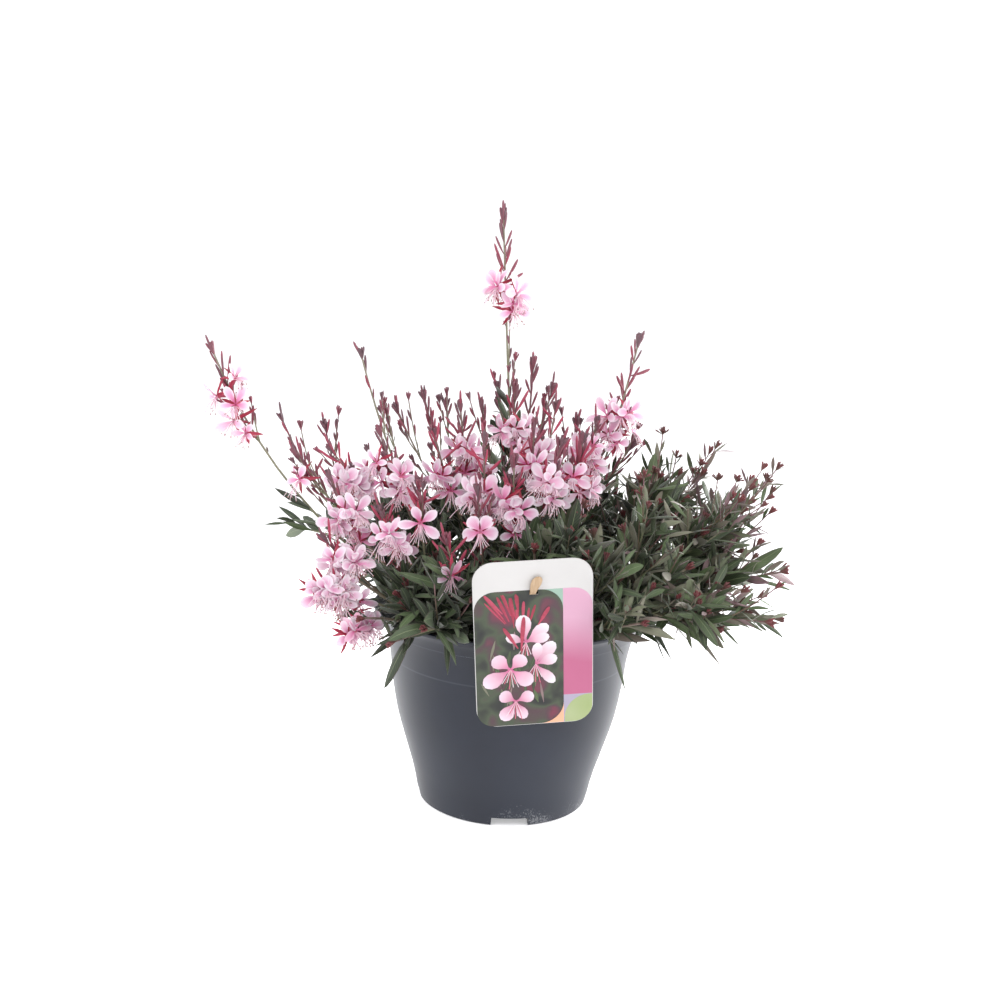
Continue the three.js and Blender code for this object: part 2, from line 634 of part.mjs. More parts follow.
// The flowers of a spike crowd together, so each has to touch one before it: they are one body.
let clusters = 0;
plants.forEach(({ stems }, plant) => stems.forEach((stem, s) => {
  if (!stem.flowers.length) return;
  const node = numbered('flowers', clusters++);
  stem.flowers.forEach(([t, bearing], i) => {
    const key = plant * 100 + s * 10 + i;
    const place = i === 0 ? addClear : addHeld;
    place(node, FLOWER_TRIES, (attempt) => flowerOn(
      stem, t + (attempt ? between(-FLOWER_SHIFT, FLOWER_SHIFT, key, attempt) : 0), bearing, key, attempt));
  });
}));

function growBuds(node, stem, key) {
  for (let i = 0; i < BUDS; i++) {
    const t = 1 - BUD_STRETCH * (1 - (i + 0.9) / BUDS);
    addClear(node, BUD_TRIES, (attempt) => budOn(stem, t, key + i, attempt));
  }
}

function growLeaves(node, stem, key, [count, low, high]) {
  for (let i = 0; i < count; i++) {
    const t = low + (high - low) * ((i + 0.5) / count);
    addClear(node, LEAF_TRIES, (attempt) => leafOn(stem, t, key + i, attempt, 1.15 - 0.45 * t), true);
  }
}

plants.forEach(({ node, stems, wand }, plant) => stems.forEach((stem, s) => {
  const key = plant * 300 + s * 100;
  if (wand) growBuds(node, stem, key);
  else growLeaves(node, stem, key + 50, LEAVES[Math.min(s, 1)]);
}));

const COLOURS = {
  pot: 0x474c57, soil: 0x33261c, label_card: 0xe9a6c6, label_pick: 0xcbb592,
  flower_wand: 0x7a3a48, leafy_stem: 0x4d6a3c, flowers: 0xf0b4d0,
};

const gaura = new THREE.Group();
for (const [node, solids] of pieces) {
  const whole = wasm.Manifold.union(solids).simplify(SMOOTHED);
  const material = new THREE.MeshStandardMaterial({
    name: node.replace(/_\d+$/, ''), color: COLOURS[node.replace(/_\d+$/, '')], roughness: 0.6,
  });
  const mesh = new THREE.Mesh(geometryFrom(whole), material);
  mesh.name = node;
  gaura.add(mesh);
}

export default gaura;
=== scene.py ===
"""Looks of a potted gaura: a slate grey nursery pot, a label on a pick, wiry flower wands and a leaf mound.

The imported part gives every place: each stem, leaf, bud and flower of it is found again here and grown in
its real detail, and finer growth is added between them. Lengths are millimetres until a mesh is made.
"""

import logging
import math
import random
from collections.abc import Callable, Iterable, Sequence
from dataclasses import dataclass, field, replace
from enum import Enum
from functools import cached_property, partial

import bmesh
import bpy
import numpy as np
from mathutils import Matrix, Vector, noise


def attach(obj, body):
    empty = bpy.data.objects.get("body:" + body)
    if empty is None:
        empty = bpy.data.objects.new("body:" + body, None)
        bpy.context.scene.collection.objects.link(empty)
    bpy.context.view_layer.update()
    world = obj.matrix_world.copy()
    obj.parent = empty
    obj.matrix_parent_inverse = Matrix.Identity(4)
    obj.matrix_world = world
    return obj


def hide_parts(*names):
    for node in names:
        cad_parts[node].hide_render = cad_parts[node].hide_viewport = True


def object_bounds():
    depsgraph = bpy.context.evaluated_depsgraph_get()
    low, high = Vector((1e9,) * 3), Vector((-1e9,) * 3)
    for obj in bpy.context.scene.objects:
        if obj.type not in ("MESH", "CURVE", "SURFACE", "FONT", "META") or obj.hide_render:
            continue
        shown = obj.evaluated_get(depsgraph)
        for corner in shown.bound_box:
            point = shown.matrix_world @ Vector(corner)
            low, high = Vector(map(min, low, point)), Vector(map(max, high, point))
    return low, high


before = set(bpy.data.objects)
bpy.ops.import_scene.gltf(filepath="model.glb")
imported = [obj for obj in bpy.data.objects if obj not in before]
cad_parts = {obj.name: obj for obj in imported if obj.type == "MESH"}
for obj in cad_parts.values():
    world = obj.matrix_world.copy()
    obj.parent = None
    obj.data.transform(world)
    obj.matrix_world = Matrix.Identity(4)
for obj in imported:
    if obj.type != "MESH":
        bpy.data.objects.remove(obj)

CAD_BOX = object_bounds()
MM = 0.001
UP = np.array([0.0, 0.0, 1.0])
GOLDEN_ANGLE = 137.5
# How far a plant's stem runs down into the soil
ROOT_DEPTH = 8.0
# How far added growth may reach past the part's box, in millimetres
REACH = 3.0
# The flower that stands alone in front of the leaves, and the clear space about it
LONE_FLOWER = (-21.0, -72.0, 207.0)
LONE_CLEAR = 18.0
# Flowers hang to the left of, in front of and below this corner, and no leaf or shoot is added there
HANGING_FLOWERS = (-84.0, -20.0, 210.0)
# How far the clear space about the pot's wall reaches inwards, outwards and up from its lip
WALL_CLEAR = (15.0, 1.5, 1.0)
# Half width and half height of the clear space about the label, and where it begins behind the card
LABEL_CLEAR = (40.0, 60.0, -2.5)
LOG = logging.getLogger("gaura")


def linear(hexcode: str) -> tuple[float, float, float, float]:
    """Turns an sRGB hex value to linear colour.

    Args:
        hexcode: six hex digits after a hash sign.

    Returns:
        Red, green, blue and an alpha of one.
    """
    parts = [int(hexcode[i : i + 2], 16) / 255 for i in (1, 3, 5)]
    red, green, blue = (c / 12.92 if c <= 0.04045 else ((c + 0.055) / 1.055) ** 2.4 for c in parts)
    return red, green, blue, 1.0


def unit(v: np.ndarray) -> np.ndarray:
    """Returns the vector, or each row of vectors, at length one."""
    return v / np.linalg.norm(v, axis=-1, keepdims=True)


def tilt(along: np.ndarray, out: np.ndarray, lean: float, lift: float = 0.0) -> np.ndarray:
    """Returns the direction that leans from one way towards another.

    Args:
        along: the first way.
        out: the other, square to it.
        lean: degrees from the first way.
        lift: how strongly it is turned upwards.

    Returns:
        The direction at length one.
    """
    turn = math.radians(lean)
    return unit(along * math.cos(turn) + out * math.sin(turn) + UP * lift)


def straight(start: np.ndarray, run: np.ndarray) -> Callable[[np.ndarray], np.ndarray]:
    """Returns a straight centreline: its points for shares of the run."""
    return lambda s: start + run * s[:, None]


def curve(start: np.ndarray, bend: np.ndarray, tip: np.ndarray, t: float | np.ndarray) -> np.ndarray:
    """Finds places on a curve.

    Args:
        start: where it begins.
        bend: the point towards which it starts out.
        tip: where it ends.
        t: share, or shares, of the curve.

    Returns:
        The point, or a row for each share.
    """
    s = np.asarray(t, float)[..., None]
    return (1 - s) ** 2 * start + 2 * s * (1 - s) * bend + s**2 * tip


def compass(bearing: float) -> np.ndarray:
    """Returns the level direction of a bearing in degrees, anticlockwise from +X."""
    turn = math.radians(bearing)
    return np.array([math.cos(turn), math.sin(turn), 0.0])


def draw(*keys: int) -> float:
    """Gives the part's own repeatable draw for some whole numbers.

    Args:
        keys: the numbers that name the draw.

    Returns:
        A number from 0 to 1.
    """
    state = 20231
    for key in keys:
        state = ((state ^ key) * 0x9E3779B1 + 0x3C6EF35F) & 0xFFFFFFFF
        state ^= state >> 15
    return state / 4294967296


def stem_key(plant: int, stem: int) -> int:
    """Returns the first of the part's keys for a stem, by the numbers of plant and stem."""
    return plant * 300 + stem * 100


def between(low: float, high: float, *keys: int) -> float:
    """Returns the repeatable draw for the keys, spread from low to high."""
    return low + (high - low) * draw(*keys)


# Finishes


@dataclass(frozen=True)
class Bench:
    """A material's node tree and its shader, where a finish is put together."""

    tree: bpy.types.NodeTree
    shader: bpy.types.Node

    def add(
        self,
        kind: str,
        values: dict | None = None,
        links: dict | None = None,
        out: int | str = 0,
        stops: Sequence[tuple[float, str]] = (),
        **settings: object,
    ) -> bpy.types.NodeSocket:
        """Adds a node with its settings and links.

        Args:
            kind: the node's type name after ShaderNode.
            values: constants by input name or number.
            links: the socket that feeds each input, by input name or number.
            out: name or number of the wanted output.
            stops: places and hex colours of a colour ramp.
            settings: the node's own properties.

        Returns:
            The wanted output.
        """
        node = self.tree.nodes.new("ShaderNode" + kind)
        for name, value in settings.items():
            setattr(node, name, value)
        if stops:
            ramp = node.color_ramp.elements
            ramp.remove(ramp[1])
            ramp[0].position, ramp[0].color = stops[0][0], linear(stops[0][1])
            for place, colour in stops[1:]:
                ramp.new(place).color = linear(colour)
        for name, value in (values or {}).items():
            node.inputs[name].default_value = value
        for name, source in (links or {}).items():
            self.tree.links.new(source, node.inputs[name])
        return node.outputs[out]

    def fix(self, constants: dict[str, object]) -> None:
        """Sets the shader's own constants by input name."""
        for name, value in constants.items():
            self.shader.inputs[name].default_value = value

    def feed(self, name: str, source: bpy.types.NodeSocket) -> None:
        """Links a socket to one of the shader's inputs."""
        self.tree.links.new(source, self.shader.inputs[name])

    def apart(self, source: bpy.types.NodeSocket, centre: float) -> bpy.types.NodeSocket:
        """Returns how far a value is from a centre."""
        off = self.add("Math", {1: centre}, {0: source}, operation="SUBTRACT")
        return self.add("Math", links={0: off}, operation="ABSOLUTE")

    def mottle(
        self, colour: bpy.types.NodeSocket, pattern: bpy.types.NodeSocket, low: float, high: float
    ) -> bpy.types.NodeSocket:
        """Returns a colour made darker and lighter by a pattern, between two shares of its tone."""
        shift = self.add("MapRange", {"To Min": low, "To Max": high}, {"Value": pattern})
        grey = self.add("CombineXYZ", links={i: shift for i in range(3)})
        return self.add("Mix", {0: 1.0}, {6: colour, 7: grey}, 2, data_type="RGBA", blend_type="MULTIPLY")


@dataclass(frozen=True)
class Finish:
    """A surface of one real material.

    Args:
        name: what the material is called.
        roughness: how matt it is.
        ior: its index of refraction.
    """

    name: str
    roughness: float = 0.5
    ior: float = 1.45

    def material(self) -> bpy.types.Material:
        """Returns the finish as a node-based material, made on first use."""
        made = bpy.data.materials.get(self.name)
        if made is None:
            made = bpy.data.materials.new(self.name)
            made.use_nodes = True
            bench = Bench(made.node_tree, made.node_tree.nodes["Principled BSDF"])
            bench.fix({"Roughness": self.roughness, "IOR": self.ior})
            self.dress(bench)
        return made

    def dress(self, bench: Bench) -> None:
        """Adds the finish's own pattern to its shader."""
        raise NotImplementedError


@dataclass(frozen=True)
class MouldedPolypropylene(Finish):
    """Polypropylene out of a spark-eroded mould: an even satin grain, pale mineral specks low down."""

    colour: str = "#101624"
    bloom: str = "#1A2130"
    speck: str = "#6C6E72"
    # Colour of the painted highlight along the ledge under the lip and of the paler ring lower down
    ledge_highlight_and_ring: str = "#3A3F4A"
    # The splashed specks stop at this height, in metres
    speck_top: float = 0.04
    # Heights of the painted highlight along the ledge under the lip and of a paler ring lower down, in metres
    highlight_and_ring_heights: tuple[float, float] = (0.1254, 0.1045)

    def dress(self, bench: Bench) -> None:
        """Adds clouding over 60 mm, specks of 1 mm near the foot, a painted highlight along the ledge under
        the lip, a paler ring lower down and a moulded grain.
        """
        place = bench.add("TexCoord", out="Object")
        cloud = bench.add("TexNoise", {"Scale": 18.0, "Detail": 3.0}, {"Vector": place})
        colour = bench.add("ValToRGB", links={"Fac": cloud}, stops=((0.3, self.colour), (0.75, self.bloom)))
        height = bench.add("SeparateXYZ", links={"Vector": place}, out="Z")
        fade = {"From Max": self.speck_top, "To Min": 1.0, "To Max": 0.0}
        low = bench.add("MapRange", fade, {"Value": height})
        dots = bench.add("TexNoise", {"Scale": 900.0, "Detail": 2.0}, {"Vector": place})
        patch = bench.add("TexNoise", {"Scale": 48.0, "Detail": 2.0}, {"Vector": place})
        splash = bench.add("Math", links={0: dots, 1: patch}, operation="MULTIPLY")
        dried = bench.add("Math", links={0: splash, 1: low}, operation="MULTIPLY")
        mask = bench.add("MapRange", {"From Min": 0.27, "From Max": 0.4}, {"Value": dried})
        colour = bench.add("Mix", {7: linear(self.speck)}, {0: mask, 6: colour}, 2, data_type="RGBA")
        # The upper ring paints a highlight along the ledge under the lip, and the lower one is a paler ring
        for ring in self.highlight_and_ring_heights:
            edge = {"From Min": 0.0002, "From Max": 0.0008, "To Min": 1.0, "To Max": 0.0}
            line = bench.add("MapRange", edge, {"Value": bench.apart(height, ring)})
            ring_mark = bench.add("Math", links={0: line, 1: patch}, operation="MULTIPLY")
            colour = bench.add("Mix", {7: linear(self.ledge_highlight_and_ring)}, {0: ring_mark, 6: colour}, 2, data_type="RGBA")
        bench.feed("Base Color", colour)
        bench.fix({"Sheen Weight": 0.2, "Sheen Roughness": 0.3})
        rough = bench.add("MapRange", {"To Min": 0.38, "To Max": 0.5}, {"Value": cloud})
        bench.feed("Roughness", rough)
        grain = bench.add("TexNoise", {"Scale": 1400.0, "Detail": 2.0}, {"Vector": place})
        bump = {"Strength": 0.12, "Distance": 0.0002}
        bench.feed("Normal", bench.add("Bump", bump, {"Height": grain}))


@dataclass(frozen=True)
class MoistPeat(Finish):
    """Potting peat, crumbly and moist: near black with brown fibres."""

    tones: tuple[tuple[float, str], ...] = ((0.35, "#1E1611"), (0.62, "#33271C"), (0.75, "#57432F"))

    def dress(self, bench: Bench) -> None:
        """Adds crumbs of 3 mm and fibres of 1 mm in colour and bump."""
        place = bench.add("TexCoord", out="Object")
        crumb = bench.add("TexNoise", {"Scale": 320.0, "Detail": 6.0, "Roughness": 0.7}, {"Vector": place})
        bench.feed("Base Color", bench.add("ValToRGB", links={"Fac": crumb}, stops=self.tones))
        bump = {"Strength": 0.8, "Distance": 0.0015}
        bench.feed("Normal", bench.add("Bump", bump, {"Height": crumb}))


# The clear film over all print on the label
FILM = {"Coat Weight": 0.12, "Coat Roughness": 0.2}


@dataclass(frozen=True)
class CoatedBoard(Finish):
    """Printed label board under a clear film: a flat ink with a faint tone shift and a satin shine."""

    colour: str = "#EFEFED"
    shade: str = "#E4E4E2"
    # Heights between which a printed field runs from its lower to its upper tone, in metres
    fade: tuple[float, float] | None = None

    def dress(self, bench: Bench) -> None:
        """Adds the soft tone shift of the ink over 40 mm, and the film's coat."""
        place = bench.add("TexCoord", out="Object")
        tone = bench.add("TexNoise", {"Scale": 25.0, "Detail": 2.0}, {"Vector": place})
        if self.fade:
            height = bench.add("SeparateXYZ", links={"Vector": place}, out="Z")
            low, high = self.fade
            run = bench.add("MapRange", {"From Min": low, "From Max": high}, {"Value": height})
            stray = bench.add("Math", {1: 0.2}, {0: tone}, operation="MULTIPLY")
            tone = bench.add("Math", links={0: run, 1: stray}, operation="ADD")
        stops = ((0.2, self.shade), (0.8, self.colour))
        bench.feed("Base Color", bench.add("ValToRGB", links={"Fac": tone}, stops=stops))
        bench.fix(FILM)


@dataclass(frozen=True)
class PrintedFoliage(Finish):
    """The label's print of a blurred border in leaf: dark greens and plums that run into each other."""

    tones: tuple[str, ...] = ("#1D1E1E", "#2B2F27", "#3F4936", "#4A333A", "#6C2C40")

    def dress(self, bench: Bench) -> None:
        """Adds soft blotches of 6 to 15 mm in the print's tones."""
        place = bench.add("TexCoord", out="Object")
        blur = bench.add("TexNoise", {"Scale": 60.0, "Detail": 1.5, "Distortion": 0.4}, {"Vector": place})
        steps = np.linspace(0.3, 0.7, len(self.tones))
        stops = [(float(step), tone) for step, tone in zip(steps, self.tones)]
        bench.feed("Base Color", bench.add("ValToRGB", links={"Fac": blur}, stops=stops))
        bench.fix(FILM)


@dataclass(frozen=True)
class SawnBirch(Finish):
    """Bare birch splint of the label's pick: pale tan, grain along its length."""

    light: str = "#B99F82"
    dark: str = "#A88C6E"

    def dress(self, bench: Bench) -> None:
        """Adds grain lines of half a millimetre, drawn out along the pick."""
        place = bench.add("TexCoord", out="Object")
        long = bench.add("Mapping", {"Scale": (1.0, 0.12, 0.12)}, {"Vector": place})
        grain = bench.add("TexNoise", {"Scale": 1500.0, "Detail": 3.0}, {"Vector": long})
        stops = ((0.35, self.dark), (0.65, self.light))
        bench.feed("Base Color", bench.add("ValToRGB", links={"Fac": grain}, stops=stops))
        bump = {"Strength": 0.3, "Distance": 0.0002}
        bench.feed("Normal", bench.add("Bump", bump, {"Height": grain}))


@dataclass(frozen=True)
class GrowingTissue(Finish):
    """Skin of a stem, bud, sepal, stamen or anther: its colour runs from base to tip, and each one differs.

    Args:
        base: colours from one individual to the next at the base.
        tip: the same at the tip.
        mottle: cycles a metre of the mottling.
        relief: strength of the fine bump.
        glow: how much light passes through the tissue.
    """

    base: tuple[str, str] = ("#6B6A55", "#6A4048")
    tip: tuple[str, str] = ("#6A4048", "#6A4048")
    mottle: float = 500.0
    relief: float = 0.25
    glow: float = 0.0

    def dress(self, bench: Bench) -> None:
        """Adds the run of colour along the piece, the mottling and the bump."""
        tint = bench.add("Attribute", out="Fac", attribute_name="tint")
        along = bench.add("SeparateXYZ", links={0: bench.add("UVMap", uv_map="growth")}, out="Y")
        place = bench.add("TexCoord", out="Object")
        lower, upper = (
            bench.add("ValToRGB", links={"Fac": tint}, stops=((0.0, first), (1.0, last)))
            for first, last in (self.base, self.tip)
        )
        run = bench.add("Mix", links={0: along, 6: lower, 7: upper}, out=2, data_type="RGBA")
        fleck = bench.add("TexNoise", {"Scale": self.mottle, "Detail": 3.0}, {"Vector": place})
        bench.feed("Base Color", bench.mottle(run, fleck, 0.72, 1.25))
        bump = {"Strength": self.relief, "Distance": 0.0003}
        bench.feed("Normal", bench.add("Bump", bump, {"Height": fleck}))
        if self.glow:
            through = {"Weight": self.glow, "Radius": (1.0, 0.5, 0.5), "Scale": 0.001}
            bench.fix({f"Subsurface {name}": value for name, value in through.items()})


@dataclass(frozen=True)
class LeafBlade(Finish):
    """Upper skin of a gaura leaf: matt dark green with a paler rib, plum where the sun has caught it, paled
    towards grey at the plum end as painted glare.
    """

    # The upper stops are plum made paler and greyer than the leaf is: painted glare over the top and
    # right-hand side of the mound
    greens: tuple[tuple[float, str], ...] = (
        (0.0, "#1C2615"),
        (0.3, "#2F3A28"),
        (0.52, "#4C5D3C"),
        (0.74, "#726F60"),
        (1.0, "#84666E"),
    )
    rib: str = "#75805E"
    edge: str = "#4A383C"

    def dress(self, bench: Bench) -> None:
        """Adds the rib, side veins 3 mm apart, a plum edge and blotches of 8 mm."""
        tint = bench.add("Attribute", out="Fac", attribute_name="tint")
        spot = bench.add("UVMap", uv_map="growth")
        across, along = (bench.add("SeparateXYZ", links={0: spot}, out=axis) for axis in "XY")
        place = bench.add("TexCoord", out="Object")
        skin = bench.add("ValToRGB", links={"Fac": tint}, stops=self.greens)
        beside = bench.apart(across, 0.5)
        blotch = bench.add("TexNoise", {"Scale": 120.0, "Detail": 3.0}, {"Vector": place})
        mottled = bench.mottle(skin, blotch, 0.65, 1.35)
        slant = bench.add("Math", {1: 0.5}, {0: beside}, operation="MULTIPLY")
        climb = bench.add("Math", links={0: along, 1: slant}, operation="SUBTRACT")
        waves = bench.add("Math", {1: 75.0}, {0: climb}, operation="MULTIPLY")
        veins = bench.add("Math", links={0: waves}, operation="SINE")
        faint = bench.add("MapRange", {"From Min": 0.72, "To Max": 0.22}, {"Value": veins})
        narrow = {"From Min": 0.015, "From Max": 0.05, "To Min": 0.6, "To Max": 0.0}
        near = bench.add("MapRange", narrow, {"Value": beside})
        lines = bench.add("Math", links={0: faint, 1: near}, operation="MAXIMUM")
        ribbed = bench.add("Mix", {7: linear(self.rib)}, {0: lines, 6: mottled}, 2, data_type="RGBA")
        outer = bench.add("MapRange", {"From Min": 0.4, "From Max": 0.5, "To Max": 0.5}, {"Value": beside})
        edged = bench.add("Mix", {7: linear(self.edge)}, {0: outer, 6: ribbed}, 2, data_type="RGBA")
        bench.feed("Base Color", edged)
        # The short hairs of the leaf catch the light at its edges
        bench.fix({"Sheen Weight": 0.22, "Sheen Roughness": 0.45})
        bump = {"Strength": 0.35, "Distance": 0.0004}
        bench.feed("Normal", bench.add("Bump", bump, {"Height": lines}))


@dataclass(frozen=True)
class PetalTissue(Finish):
    """A gaura petal: thin and moist, deep pink at its claw, with veins that fade towards a pale rim.

    Args:
        run: colours from the claw to the tip.
        vein: colour of the veins.
        rim: colour of the side edges.
        shades: colour towards which a petal leans, by its tint from faded to deep.
        lean: how far it leans there, as a grey.
    """

    run: tuple[tuple[float, str], ...] = (
        (0.0, "#A02C54"),
        (0.16, "#C45F8A"),
        (0.38, "#D486AC"),
        (0.64, "#DAA4C0"),
        (0.86, "#DFC4D4"),
        (1.0, "#E6D6E0"),
    )
    vein: str = "#BE5084"
    rim: str = "#E6D8E1"
    shades: tuple[tuple[float, str], ...] = ((0.0, "#E9DCE4"), (0.5, "#DDA6C2"), (1.0, "#C85A86"))
    lean: tuple[tuple[float, str], ...] = (
        (0.0, "#B0B0B0"),
        (0.4, "#000000"),
        (0.8, "#404040"),
        (1.0, "#C8C8C8"),
    )

    def dress(self, bench: Bench) -> None:
        """Adds nine fanned veins, the pale rim, and a shade from petal to petal."""
        tint = bench.add("Attribute", out="Fac", attribute_name="tint")
        spot = bench.add("UVMap", uv_map="growth")
        level, along = (bench.add("SeparateXYZ", links={0: spot}, out=axis) for axis in "XY")
        place = bench.add("TexCoord", out="Object")
        wobble = bench.add("TexNoise", {"Scale": 350.0, "Detail": 2.0}, {"Vector": place})
        run = bench.add("ValToRGB", links={"Fac": along}, stops=self.run)
        stray = bench.add("MapRange", {"To Min": -0.02, "To Max": 0.02}, {"Value": wobble})
        across = bench.add("Math", links={0: level, 1: stray}, operation="ADD")
        waves = bench.add("Math", {1: 56.5}, {0: across}, operation="MULTIPLY")
        lines = bench.add("Math", links={0: waves}, operation="SINE")
        thin = bench.add("MapRange", {"From Min": 0.2}, {"Value": lines})
        outwards = {"From Min": 0.15, "From Max": 0.9, "To Min": 0.55, "To Max": 0.05}
        fade = bench.add("MapRange", outwards, {"Value": along})
        veins = bench.add("Math", links={0: thin, 1: fade}, operation="MULTIPLY")
        veined = bench.add("Mix", {7: linear(self.vein)}, {0: veins, 6: run}, 2, data_type="RGBA")
        rows = (self.shades, self.lean)
        shade, amount = (bench.add("ValToRGB", links={"Fac": tint}, stops=row) for row in rows)
        rim = {"From Min": 0.2, "From Max": 0.47, "To Max": 0.85}
        outer = bench.add("MapRange", rim, {"Value": bench.apart(across, 0.5)})
        wide = bench.add("MapRange", {"From Min": 0.25, "From Max": 0.5}, {"Value": along})
        pale = bench.add("Math", links={0: outer, 1: wide}, operation="MULTIPLY")
        rimmed = bench.add("Mix", {7: linear(self.rim)}, {0: pale, 6: veined}, 2, data_type="RGBA")
        leant = bench.add("Mix", links={0: amount, 6: rimmed, 7: shade}, out=2, data_type="RGBA")
        bench.feed("Base Color", leant)
        through = {"Weight": 0.35, "Radius": (1.0, 0.6, 0.75), "Scale": 0.0012}
        bench.fix({f"Subsurface {name}": value for name, value in through.items()})
        bump = {"Strength": 0.25, "Distance": 0.0003}
        bench.feed("Normal", bench.add("Bump", bump, {"Height": veins}))


@dataclass(frozen=True)
class StudioSweep(Finish):
    """White seamless sheet of the studio, lit through from below, more so behind the pot."""

    colour: str = "#FBFBFD"
    # How strongly the sheet glows at shares of its depth, which is counted from one place to another
    glow: tuple[tuple[float, float], ...] = ((0.0, 0.1), (0.16, 0.9), (0.4, 0.9), (0.62, 0.08))
    depth: tuple[float, float] = (-0.12, 1.2)

    def dress(self, bench: Bench) -> None:
        """Adds the glow and the sheet's faint tooth."""
        white = linear("#FFFFFF")
        bench.fix({"Base Color": linear(self.colour), "Specular IOR Level": 0.1, "Emission Color": white})
        place = bench.add("TexCoord", out="Object")
        back = bench.add("SeparateXYZ", links={"Vector": place}, out="Y")
        near, far = self.depth
        share = bench.add("MapRange", {"From Min": near, "From Max": far}, {"Value": back})
        steps = []
        for (start, last), (stop, level) in zip(self.glow, self.glow[1:]):
            rise = {"From Min": start, "From Max": stop, "To Max": level - last}
            steps.append(bench.add("MapRange", rise, {"Value": share}))
        lit = bench.add("Math", {1: self.glow[0][1]}, {0: steps[0]}, operation="ADD")
        for step in steps[1:]:
            lit = bench.add("Math", links={0: lit, 1: step}, operation="ADD")
        bench.feed("Emission Strength", lit)
        tooth = bench.add("TexNoise", {"Scale": 900.0}, {"Vector": place})
        bump = {"Strength": 0.02, "Distance": 0.0005}
        bench.feed("Normal", bench.add("Bump", bump, {"Height": tooth}))


POT_PLASTIC = MouldedPolypropylene("moulded_polypropylene", 0.42, 1.49)
PEAT_FILL = MoistPeat("moist_peat", 0.95)
BOARD = CoatedBoard("coated_board", 0.4, colour="#C6C4C3", shade="#BFBDBC")
BIRCH = SawnBirch("sawn_birch", 0.65)
WAND_SKIN = GrowingTissue("wand_skin", 0.55, base=("#7F8866", "#6B6848"), tip=("#827A6C", "#6E4450"))
BUD_SKIN = GrowingTissue(
    "bud_skin", 0.5, base=("#70545A", "#A83450"), tip=("#624A52", "#A23A54"), mottle=700.0
)
SHOOT_SKIN = GrowingTissue("shoot_tip", 0.5, base=("#4E4A38", "#5E3C38"), tip=("#5E3638", "#7A3C40"))
SEPAL_SKIN = GrowingTissue(
    "sepal_skin", 0.45, base=("#A8324A", "#BE4A62"), tip=("#8E2438", "#B04058"), glow=0.15
)
TUBE_SKIN = GrowingTissue("calyx_skin", 0.45, base=("#7A3B3C", "#A04856"), tip=("#B84460", "#C8607A"))
FILAMENT_SKIN = GrowingTissue(
    "stamen_filament", 0.4, base=("#D89CB4", "#DCB0C2"), tip=("#DCC4CE", "#E2D0D6"), glow=0.2
)
ANTHER_SKIN = GrowingTissue("anther", 0.6, base=("#A8807A", "#9C6A66"), tip=("#94706A", "#8C5858"))
LEAF_SKIN = LeafBlade("leaf_blade", 0.42, 1.4)
PETAL_SKIN = PetalTissue("petal_tissue", 0.42)
PRINTED_PETAL = GrowingTissue(
    "printed_petal", 0.4, base=("#B8527E", "#B8527E"), tip=("#E0DAE0", "#DCC4D2"), mottle=90.0, relief=0.0
)
SWEEP = StudioSweep("studio_sweep", 0.9)


# Modelling by hand


def lay_down() -> None:
    """Deselects all, so that the next operator acts on its own piece only."""
    if bpy.context.object and bpy.context.object.mode != "OBJECT":
        bpy.ops.object.mode_set(mode="OBJECT")
    bpy.ops.object.select_all(action="DESELECT")


def take_up(piece: bpy.types.Object) -> None:
    """Makes a piece the one selected and active object."""
    lay_down()
    piece.select_set(True)
    bpy.context.view_layer.objects.active = piece


def choose(piece: bpy.types.Object, wanted: Callable[[Vector], bool], mode: str = "VERT") -> None:
    """Selects parts of a piece in edit mode by their place.

    Args:
        piece: the piece in edit mode.
        wanted: says of a vertex, or of an edge's middle, whether it is selected.
        mode: VERT or EDGE.
    """
    bpy.ops.mesh.select_mode(type=mode)
    sheet = bmesh.from_edit_mesh(piece.data)
    for group in (sheet.verts, sheet.edges, sheet.faces):
        for part in group:
            part.select = False
    for part in sheet.verts if mode == "VERT" else sheet.edges:
        middle = part.co if mode == "VERT" else (part.verts[0].co + part.verts[1].co) / 2
        part.select_set(wanted(middle))
    sheet.select_flush_mode()
    bmesh.update_edit_mesh(piece.data)


def close_up() -> None:
    """Turns all faces of the piece in edit mode outwards and leaves edit mode."""
    bpy.ops.mesh.select_all(action="SELECT")
    bpy.ops.mesh.normals_make_consistent(inside=False)
    bpy.ops.object.mode_set(mode="OBJECT")


def finish_off(piece: bpy.types.Object, kind: str, **settings: object) -> None:
    """Adds a modifier to a piece and applies it.

    Args:
        piece: the piece, in object mode.
        kind: the modifier's type.
        settings: its properties.
    """
    take_up(piece)
    modifier = piece.modifiers.new(kind.title(), kind)
    for name, value in settings.items():
        setattr(modifier, name, value)
    bpy.ops.object.modifier_apply(modifier=modifier.name)


def cut_away(piece: bpy.types.Object, cutter: bpy.types.Object) -> None:
    """Takes a cutter's shape out of a piece and clears the cutter from the scene."""
    finish_off(piece, "BOOLEAN", object=cutter, operation="DIFFERENCE", solver="EXACT")
    bpy.data.objects.remove(cutter)


def settle(piece: bpy.types.Object) -> None:
    """Puts a piece's place into its mesh, so that its object sits at the origin."""
    take_up(piece)
    bpy.ops.object.transform_apply(location=True, rotation=True, scale=True)


def hand_over(
    piece: bpy.types.Object,
    name: str,
    finish: Finish | None = None,
    nodes: Sequence[str] = (),
    smooth: float = 0.0,
) -> bpy.types.Object:
    """Names a finished piece, shades it and ties it to the frame.

    Args:
        piece: the finished piece.
        name: its name.
        finish: its finish, if it has none yet.
        nodes: the CAD nodes that it stands for.
        smooth: degrees up to which an edge is shaded smooth, or 0 for a flat piece.

    Returns:
        The piece.
    """
    piece.name = piece.data.name = name
    if smooth:
        take_up(piece)
        bpy.ops.object.shade_smooth_by_angle(angle=math.radians(smooth))
    if finish:
        piece.data.materials.clear()
        piece.data.materials.append(finish.material())
    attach(piece, "root")
    if nodes:
        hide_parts(*nodes)
    LOG.info("%s: %d faces", name, len(piece.data.polygons))
    return piece


